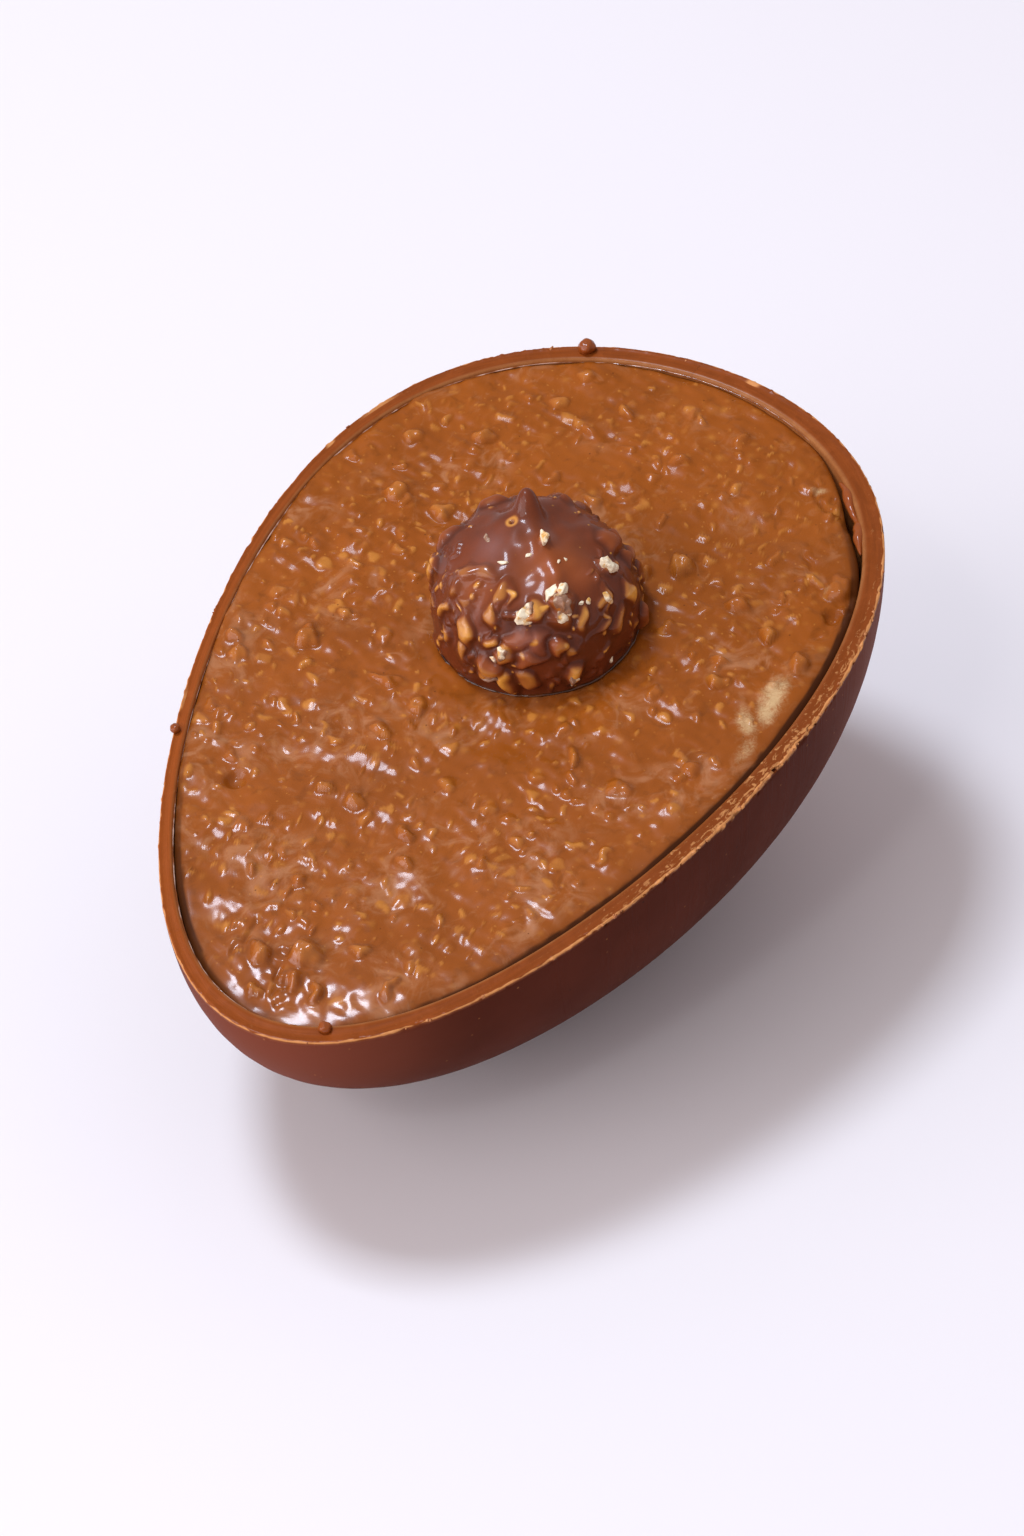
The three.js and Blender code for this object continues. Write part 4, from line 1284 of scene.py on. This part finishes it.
def wall_crevice_shade(from_edge, angle):
    """Painted shade of the crevice at the wall: a sharp dark line with a soft shade beside it."""
    share = near_side(angle) * (1 - 0.75 * bell(angle, BROAD_TURN - 5, BROAD_SPAN))
    line = 1 - smoothstep(from_edge - 0.85 * share, 0.25, 0.70)
    soft = 0.40 * np.exp(-np.maximum(from_edge - 0.9, 0) / 1.4)
    return np.maximum(line * (0.10 + 0.90 * share), soft * share)


def sink_pocket(x, y, height):
    """Meniscus round the praline and the round pocket under it."""
    from_axis = np.hypot(x - PRALINE_CENTRE[0], y - PRALINE_CENTRE[1])
    ball = PRALINE_RADIUS - 0.25
    lip = math.sqrt(ball ** 2 - (PRALINE_CENTRE[2] - CREAM_LEVEL) ** 2)
    height = height - 0.30 * np.exp(-np.maximum(from_axis - lip, 0) / 0.9)
    pocket = PRALINE_CENTRE[2] - np.sqrt(np.maximum(ball ** 2 - from_axis ** 2, 0)) - 0.5
    return np.where(from_axis < lip - 0.6, np.minimum(height, pocket), height)


# Pale bloom patches, and at x 51 a painted highlight on the bulge by the gap: x, y,
# half length, half width, turn in degrees, strength.
BLOOMS_AND_HIGHLIGHT = [
    (11.5, -37, 6.5, 2.6, 7, 0.9),
    (6.5, -35.5, 4.4, 2.2, 40, 0.75),
    (2, -37.5, 4.6, 1.8, 0, 0.65),
    # a painted highlight on the bulge by the gap
    (51, -26.3, 2.4, 1.2, 120, 0.7),
    (33.5, -35.5, 2.4, 1.2, 20, 0.5),
    (23, -38, 1.8, 0.9, 40, 0.45),
    (-18, -33, 9.0, 1.2, 167, 0.35),
]


def bloom_and_highlight_marks(x, y):
    """Marks of pale bloom and of one painted highlight: bells over leaning ellipses."""
    total = np.zeros_like(x)
    for bloom_x, bloom_y, length, width, turn, strength in BLOOMS_AND_HIGHLIGHT:
        along, across = turned(x - bloom_x, y - bloom_y, turn)
        away = (along / length) ** 2 + (across / width) ** 2
        total = np.maximum(total, strength * np.exp(-away))
    return total


class EGG_OT_cream(bpy.types.Operator):
    """Pours the nut cream with its lumps, grains and rounded edge"""

    bl_idname = "egg.cream"
    bl_label = "Cream"

    def execute(self, context):
        look = context.scene.egg_cream
        radius, angle, quads, edge = disc_sheet(CREAM_CELLS)
        points, marks = cream_surface(look, radius, angle)
        centre = PRALINE_CENTRE[:2]
        turn = angle[edge]
        rings = []
        for slope, follows in CREAM_RINGS:
            plan = centre + (outline(turn, CREAM_INSET) - centre) * math.cos(math.radians(slope))
            plan += (centre - plan) * (follows * shrink_at(turn) / CREAM_RADIUS)[:, None]
            rings.append(np.column_stack([plan, bowl_height(plan[:, 0], plan[:, 1], CREAM_INSET)]))
        pole = np.append(centre, bowl_height(*centre, CREAM_INSET))
        mesh_parts = close_below(points, quads, edge, rings, pole)
        make_piece("cream_body", mesh_parts, cream_finish(look), "nut_cream", "filling",
                   **padded(marks, len(mesh_parts[0])))
        return {"FINISHED"}


# ---------------------------------------------------------------- praline

PRALINE_CELLS = 300  # along each side of the sheet
PRALINE_RINGS = (40, 60, 78)  # degrees below the centre of the rings under the sheet
CAP_ANGLE = 118.0  # the fine sheet reaches this far from the top, in degrees
SMALL_CHIPS = 190
FIRST_NUT_SEED = 300
BUBBLE = (66.0, 75.0)  # azimuth and elevation of a burst bubble in the coat
FACET = (-45.0, 60.0)  # azimuth and elevation of the flatter side next to the peak
FACET_DROP = 0.5
# Patches of painted light, where the coat is painted lighter as if lit more, and of
# milk-pale painted sheen: azimuth, elevation, spread in degrees, strength.
LIT_PATCHES = ((-122, 65, 22, 1.3), (-105, 52, 11, 0.9), (158, 46, 16, 0.9))
SHEEN_PATCHES = ((126, 66, 11, 0.6), (-154, 25, 8, 0.6))


def hidden_nuts():
    """Nuts on the far side, from the even sequence, as in the solid."""
    i = np.arange(HIDDEN_NUTS)
    azimuth = FAR_SIDE_TURN + FAR_SIDE_SPAN * ((0.5 + i * EVEN_STEP_X) % 1 - 0.5)
    elevation = 46 * ((0.5 + i * EVEN_STEP_Y) % 1) - 4
    size = 1.7 + draw(i, 4)
    narrow = 0.5 + 0.35 * draw(i, 5)
    golden = draw(i, 8) * (1 - smoothstep(elevation, 20, 34))
    return np.column_stack([
        azimuth, elevation, size, size * narrow, 0.5 * size, 180 * draw(i, 6), golden])


def small_praline_nuts():
    """Smaller chips between the others, all over the ball."""
    n, across_x, across_y = even_places(SMALL_CHIPS)
    azimuth = 360 * across_x
    elevation = -12 + 60 * across_y
    size = 0.50 + 0.80 * draw(n, 31) ** 1.4
    golden = smoothstep(draw(n, 34), 0.35, 0.90)
    return np.column_stack([
        azimuth, elevation, size, size * (0.5 + 0.4 * draw(n, 32)), 0.42 * size,
        180 * draw(n, 33), golden])


def arc_angle(points, start, end):
    """Angle in degrees from unit vectors to the straight chord between two of them."""
    span = end - start
    share = np.clip((points - start) @ span / (span @ span), 0, 1)
    nearest = start + share[:, None] * span
    nearest /= np.linalg.norm(nearest, axis=1, keepdims=True)
    return np.degrees(np.arccos(np.clip((points * nearest).sum(axis=1), -1, 1)))


def bump_towards(ways, middle, spread, power=2.0):
    """Bell over the angle in degrees to a middle vector: exp(-(angle / spread)^power)."""
    angle = np.degrees(np.arccos(np.clip(ways @ middle, -1, 1)))
    return np.exp(-((angle / spread) ** power))


def tangents(middle, azimuth):
    """East and north on the ball at a unit vector whose azimuth in degrees is known."""
    east = direction(azimuth + 90, 0)
    return east, np.cross(middle, east)


def praline_radius(ways):
    """Radius along unit vectors, and the marks of the coat.

    The radius is the ball's, less a flatter crown, plus bells for the peak, the swell and the
    ridge, soft ripples and the relief of nuts, less a flatter side. All but the crown fade out
    below the cream. The marks are thin golden coat, blushing coat with painted light on it, a
    milk-pale painted sheen, and painted shade in the gaps beside tall nuts.
    """
    level = CREAM_LEVEL - PRALINE_CENTRE[2]
    bare = smoothstep(PRALINE_RADIUS * ways[:, 2] - level, -0.9, 0.9)
    crown = CROWN_DROP * smoothstep(ways[:, 2], 0.6, 0.95)
    peak = direction(*PEAK)
    tip = PEAK_RISE * bump_towards(ways, peak, 1.15 * PEAK_SPREAD, 2.5)
    tip += SWELL_RISE * bump_towards(ways, direction(*SWELL), SWELL_SPREAD)
    ridge_way = arc_angle(ways, peak, direction(*RIDGE_END)) / RIDGE_SPREAD
    ridge = RIDGE_RISE * np.exp(-(ridge_way ** 2))
    ball = ways * PRALINE_RADIUS
    coat = 0.16 * ripple(ball, 9.0, 61) + 0.05 * ripple(ball, 3.2, 62)
    drift = np.column_stack([ripple(ball, 3.0, seed) for seed in (63, 64)])
    relief, gold, gap = np.zeros((3, len(ways)))
    nuts = np.concatenate([PRALINE_NUTS, hidden_nuts(), small_praline_nuts()])
    for seed, nut in enumerate(nuts):
        azimuth, elevation, half_length, half_breadth, rise, lean, golden = nut
        middle = direction(azimuth, elevation)
        reach = min(2.2 * half_length / PRALINE_RADIUS, 1.2)
        near = np.flatnonzero(ways @ middle > math.cos(reach))
        u, v = (ball[near] @ way + 0.3 * drift[near, i]
                for i, way in enumerate(tangents(middle, azimuth)))
        share, size = stone_relief(
            u, v, (half_length, half_breadth, 90 - lean), FIRST_NUT_SEED + seed, 0.40, 2.5)
        lit = 1 + 0.6 * lean_share(u, v, half_length, seed, 35)
        raise_relief(relief, near, rise * share)
        # painted shade round the foot of a tall nut
        keep_larger(gap, near, shaded_foot(size, rise, 1.2, 0.25))
        keep_larger(gold, near, smoothstep(share * lit, 0.40, 1.15) * golden)
    from_bubble = PRALINE_RADIUS * np.arccos(np.clip(ways @ direction(*BUBBLE), -1, 1))
    relief = relief - 0.5 * np.exp(-((from_bubble / 0.35) ** 4))
    gold = np.maximum(gold, 0.75 * np.exp(-(((from_bubble - 0.7) / 0.32) ** 2)))
    facing = np.maximum(ways @ direction(*FACET), 0)
    facet = FACET_DROP * smoothstep(facing, 0.80, 0.985)
    radius = PRALINE_RADIUS - crown + bare * (tip + ridge + relief + coat - facet - 0.35)
    marks = {
        "gold": gold * bare,
        # blush over nuts, and painted light
        "blush": np.maximum(smoothstep(relief, 0.25, 1.1), patches(ways, LIT_PATCHES)),
        # painted sheen
        "haze": patches(ways, SHEEN_PATCHES),
        # painted shade in the gaps
        "gap": gap * (1 - smoothstep(relief, 0.2, 0.7)),
    }
    return radius, marks


def patches(ways, table):
    """Largest of the bells that a table lists by azimuth, elevation, spread and strength."""
    bells = [strength * bump_towards(ways, direction(azimuth, elevation), spread)
             for azimuth, elevation, spread, strength in table]
    return np.max(bells, axis=0)


class EGG_OT_praline(bpy.types.Operator):
    """Shapes the praline ball with its peak, ridge and nuts"""

    bl_idname = "egg.praline"
    bl_label = "Praline"

    def execute(self, context):
        look = context.scene.egg_praline
        share, turn, quads, edge = disc_sheet(PRALINE_CELLS)
        limit = math.sin(math.radians(CAP_ANGLE) / 2)
        tilt = 2 * np.degrees(np.arcsin(share * limit))
        ways = direction(np.degrees(turn), 90 - tilt)
        radius, marks = praline_radius(ways)
        points = PRALINE_CENTRE + ways * radius[:, None]
        rings = [
            PRALINE_CENTRE + PRALINE_RADIUS * direction(np.degrees(turn[edge]), -lift)
            for lift in PRALINE_RINGS
        ]
        pole = PRALINE_CENTRE - [0, 0, PRALINE_RADIUS]
        mesh_parts = close_below(points, quads, edge, rings, pole)
        make_piece("praline_coat", mesh_parts, praline_finish(look), "praline_coat", "praline",
                   **padded(marks, len(mesh_parts[0])))
        crumbs = bare_nut_parts()
        skins = [np.full(len(part[0]), nut[6]) for part, nut in zip(crumbs, BARE_NUTS)]
        make_piece("bare_nuts", joined(crumbs), bare_nut_finish(look), "praline_coat",
                   skin=np.concatenate(skins))
        return {"FINISHED"}


# Broken nuts that stand out of the coat: azimuth, elevation, three half sizes, turn, and how
# much of their brown skin is left.
BARE_NUTS = [
    (-135, 49, 1.1, 0.7, 0.8, 30, 0.0),
    (-127, 48, 1.1, 0.9, 0.9, -10, 0.1),
    (-130, 42, 0.9, 1.7, 0.9, -5, 0.9),
    (-133, 36, 0.8, 0.9, 0.8, -20, 0.5),
    (-158, 38, 1.4, 0.9, 0.8, 25, 0.1),
    (-152, 42, 0.9, 0.7, 0.7, 60, 0.7),
    (-82, 41, 0.9, 1.3, 0.8, 25, 0.1),
    (-99, 31, 0.5, 1.2, 0.5, 10, 0.4),
    (-88, 80, 1.0, 0.7, 0.6, 40, 0.1),
    (104, 63, 0.7, 0.6, 0.5, 10, 0.5),
    (-170, 18, 1.0, 0.7, 0.6, 50, 0.6),
    (-174, 13, 0.7, 0.5, 0.5, 0, 0.5),
    (165, 66, 0.7, 0.3, 0.3, 30, 0.0),
    (-112, 36, 0.5, 0.4, 0.4, 0, 0.3),
    (-178, -1, 1.1, 0.7, 0.6, 10, 0.6),
    (-134, -2, 0.6, 0.9, 0.5, 0, 0.4),
    (60, 14, 1.3, 0.9, 0.7, 20, 0.3),
    (15, 20, 1.0, 0.8, 0.6, 60, 0.5),
    (-154, 76, 0.45, 0.25, 0.25, 30, 0.0),
    (-108, 64, 0.35, 0.25, 0.25, 60, 0.0),
    (-97, 62, 0.30, 0.30, 0.25, 0, 0.2),
    (-116, 37, 0.45, 0.35, 0.30, 20, 0.1),
    (-107, -9, 0.50, 0.35, 0.30, 70, 0.1),
]


def bare_nut_parts():
    """Crumbs set on the coat, each turned so that its third size points outwards."""
    parts = []
    for seed, (azimuth, elevation, length, width, thick, turn, _) in enumerate(BARE_NUTS):
        middle = direction(azimuth, elevation)
        radius = float(praline_radius(middle[None])[0][0])
        axes = np.array([*turned(*tangents(middle, azimuth), turn), middle])
        points, quads, triangles = chunk(np.zeros(3), np.array([length, width, thick]), 9,
                                         500 + seed, 22, 30)
        crumble = 1 + 0.07 * ripple(points, 0.9, 700 + seed)[:, None]
        centre = PRALINE_CENTRE + middle * (radius - 0.35 * thick)
        parts.append((centre + (points * crumble) @ axes, quads, triangles))
    return parts


# ---------------------------------------------------------------- oil lines

# Lines of oil along the wall: first and last turn in degrees, height, radius, and how pale
# the line is painted, as a highlight.
WALL_LINES = (
    (-24, 30, -0.60, 0.11, 0.7),
    (22, 108, -0.60, 0.14, 1.0),
    (100, 214, -0.64, 0.13, 1.0),
    (205, 300, -1.25, 0.16, 0.0),
)
LINE_SIDES = 8
WALL_LINE_STEPS = 3  # places per degree
BALL_LINE_TURN = 215  # middle of the line round the praline, in degrees
BALL_LINE_START, BALL_LINE_GAP = 40, 20  # in degrees, where it hardly shows
BALL_LINE_THIN, BALL_LINE_SWELL = 0.03, 0.20
MENISCUS_DROP = 0.25


def praline_waterline():
    """Line where the coat meets the cream: the coat's radius at the cream's level."""
    turn = np.arange(360.0)
    level = CREAM_LEVEL - MENISCUS_DROP - PRALINE_CENTRE[2]
    lift = np.degrees(np.arcsin(level / PRALINE_RADIUS))
    ways = direction(turn, np.full_like(turn, lift))
    radius = praline_radius(ways)[0]
    return turn, PRALINE_CENTRE + ways * (radius + 0.05)[:, None]


class EGG_OT_oil_lines(bpy.types.Operator):
    """Lays thin lines of nut oil round the praline and along the wall"""

    bl_idname = "egg.oil_lines"
    bl_label = "Oil lines"

    def execute(self, context):
        look = context.scene.egg_cream
        turn, line = praline_waterline()
        shown = smoothstep(np.cos(np.radians(turn - BALL_LINE_TURN)), -0.35, 0.2)
        line = np.roll(line, -BALL_LINE_START, axis=0)[:-BALL_LINE_GAP]
        shown = np.roll(shown, -BALL_LINE_START)[:-BALL_LINE_GAP]
        radii = BALL_LINE_THIN + BALL_LINE_SWELL * shown
        parts = [swept_tube(line, radii, LINE_SIDES, 81, 0.25)]
        pale = [np.zeros(len(parts[0][0]))]
        for seed, (start, end, height, radius, painted_highlight) in enumerate(WALL_LINES):
            degrees = np.linspace(start, end, WALL_LINE_STEPS * (end - start))
            fade = np.sqrt(np.clip(np.sin(np.pi * (degrees - start) / (end - start)), 0.02, 1))
            path = rim_place(degrees, 1.0, height + 0.05 * np.sin(degrees * 0.31))
            parts.append(swept_tube(path, radius * fade, LINE_SIDES, 82 + seed, 0.2))
            pale.append(np.full(len(parts[-1][0]), painted_highlight))
        make_piece("oil_lines", joined(parts), oil_finish(look), "nut_cream",
                   pale=np.concatenate(pale))
        return {"FINISHED"}


# ---------------------------------------------------------------- stage

IMAGE_WIDTH, IMAGE_HEIGHT = 1024, 1536
CAMERA_AZIMUTH = math.radians(62.75)
CAMERA_LIFT = math.radians(39.81)
CAMERA_DISTANCE = 8.164 * HALF_LENGTH
CAMERA_RIGHT = -0.0358 * HALF_LENGTH
CAMERA_UP = 0.1896 * HALF_LENGTH
SENSOR_HEIGHT = 36.0
WORLD_TINT = (1.0, 0.93, 1.0)
FLOOR_REACH = 3.0  # metres from the middle to each side
# Lamps: metres above, to the right and away, height of the aim, side in metres, colour.
LAMPS = {
    "key": (1.50, -0.50, 0.22, 0.05, 0.36, (0.74, 0.84, 1)),
    "front": (1.00, -1.10, -1.20, 0.05, 1.20, (0.98, 0.94, 1)),
    "side": (0.35, -1.50, -0.55, 0.03, 0.80, (0.98, 0.92, 1)),
    "glint": (1.30, -0.50, -1.40, 0.05, 0.14, (0.92, 0.95, 1)),
}


def camera_axes():
    """Right, up and forward of a level camera, from its heading and how far it looks down."""
    heading = np.array([math.sin(CAMERA_AZIMUTH), math.cos(CAMERA_AZIMUTH), 0])
    right = np.array([math.cos(CAMERA_AZIMUTH), -math.sin(CAMERA_AZIMUTH), 0])
    forward = heading * math.cos(CAMERA_LIFT) + np.array([0, 0, -math.sin(CAMERA_LIFT)])
    return right, np.cross(right, forward), forward


def add_camera(lens):
    """Camera that sees the origin of the egg's frame a little left of and above its middle."""
    right, up, forward = camera_axes()
    place = (STAND - CAMERA_RIGHT * right - CAMERA_UP * up - CAMERA_DISTANCE * forward) * MM
    data = bpy.data.cameras.new("camera")
    data.sensor_fit = "VERTICAL"
    data.sensor_height = SENSOR_HEIGHT
    data.sensor_width = SENSOR_HEIGHT * IMAGE_WIDTH / IMAGE_HEIGHT
    data.lens = lens
    data.clip_start = 0.01
    camera = bpy.data.objects.new("camera", data)
    turn = Matrix((right, up, -forward)).transposed().to_4x4()
    camera.matrix_world = Matrix.Translation(Vector(place)) @ turn
    bpy.context.scene.collection.objects.link(camera)
    bpy.context.scene.camera = camera


def add_area_light(name, place, target, size, power, colour):
    """Square lamp at a place, aimed at a target, in metres and watts."""
    data = bpy.data.lights.new(name, "AREA")
    data.shape = "SQUARE"
    data.size = size
    data.energy = power
    data.color = colour
    lamp = bpy.data.objects.new(name, data)
    turn = (Vector(place) - Vector(target)).to_track_quat("Z", "Y")
    lamp.matrix_world = Matrix.Translation(Vector(place)) @ turn.to_matrix().to_4x4()
    bpy.context.scene.collection.objects.link(lamp)


def add_world(strength):
    """Even light from all round."""
    world = bpy.data.worlds.new("studio")
    world.use_nodes = True
    backdrop = world.node_tree.nodes["Background"]
    backdrop.inputs["Color"].default_value = (*WORLD_TINT, 1)
    backdrop.inputs["Strength"].default_value = strength
    bpy.context.scene.world = world


def add_floor(colour):
    """Square floor at height 0."""
    corners = FLOOR_REACH * np.array([[-1, -1, 0], [1, -1, 0], [1, 1, 0], [-1, 1, 0]])
    mesh = bpy.data.meshes.new("floor")
    mesh.from_pydata(corners.tolist(), [], [[0, 1, 2, 3]])
    mesh.materials.append(floor_finish(colour))
    floor = bpy.data.objects.new("floor", mesh)
    bpy.context.scene.collection.objects.link(floor)


class EGG_OT_stage(bpy.types.Operator):
    """Lays the floor and sets the lights and the camera"""

    bl_idname = "egg.stage"
    bl_label = "Stage"

    def execute(self, context):
        studio = context.scene.egg_studio
        right, _, forward = camera_axes()
        axes = np.array([[0, 0, 1.0], right, [forward[0], forward[1], 0]])
        for name, (above, rightwards, away, aim, side, colour) in LAMPS.items():
            place = np.array([above, rightwards, away]) @ axes
            power = getattr(studio, name + "_power")
            add_area_light(name, place, (0, 0, aim), side, power, colour)
        context.scene.view_settings.view_transform = "Standard"
        add_world(studio.fill)
        add_floor(studio.floor)
        add_camera(studio.lens)
        return {"FINISHED"}


# ---------------------------------------------------------------- add-on


class EGG_PT_panel(bpy.types.Panel):
    """Lists the pieces of the half egg"""

    bl_idname = "EGG_PT_panel"
    bl_label = "Chocolate egg"
    bl_space_type = "VIEW_3D"
    bl_region_type = "UI"
    bl_category = "Chocolate egg"

    def draw(self, context):
        for group in ("egg_shell", "egg_cream", "egg_praline", "egg_studio"):
            settings = getattr(context.scene, group)
            box = self.layout.box()
            for key in settings.__annotations__:
                box.prop(settings, key)
        for step in STEPS:
            self.layout.operator(step.bl_idname)


STEPS = (
    EGG_OT_shell, EGG_OT_rim_trimmings, EGG_OT_cream, EGG_OT_praline, EGG_OT_oil_lines,
    EGG_OT_stage,
)
SETTINGS = {
    "egg_shell": EggShellLook,
    "egg_cream": EggCreamLook,
    "egg_praline": EggPralineLook,
    "egg_studio": EggStudio,
}


def register():
    for kind in (*SETTINGS.values(), *STEPS, EGG_PT_panel):
        bpy.utils.register_class(kind)
    for key, kind in SETTINGS.items():
        setattr(bpy.types.Scene, key, PointerProperty(type=kind))


def unregister():
    for key in SETTINGS:
        delattr(bpy.types.Scene, key)
    for kind in reversed((*SETTINGS.values(), *STEPS, EGG_PT_panel)):
        bpy.utils.unregister_class(kind)


def main():
    register()
    bpy.ops.egg.shell()
    bpy.ops.egg.rim_trimmings()
    bpy.ops.egg.cream()
    bpy.ops.egg.praline()
    bpy.ops.egg.oil_lines()
    bpy.ops.egg.stage()


if __name__ == "__main__":
    main()
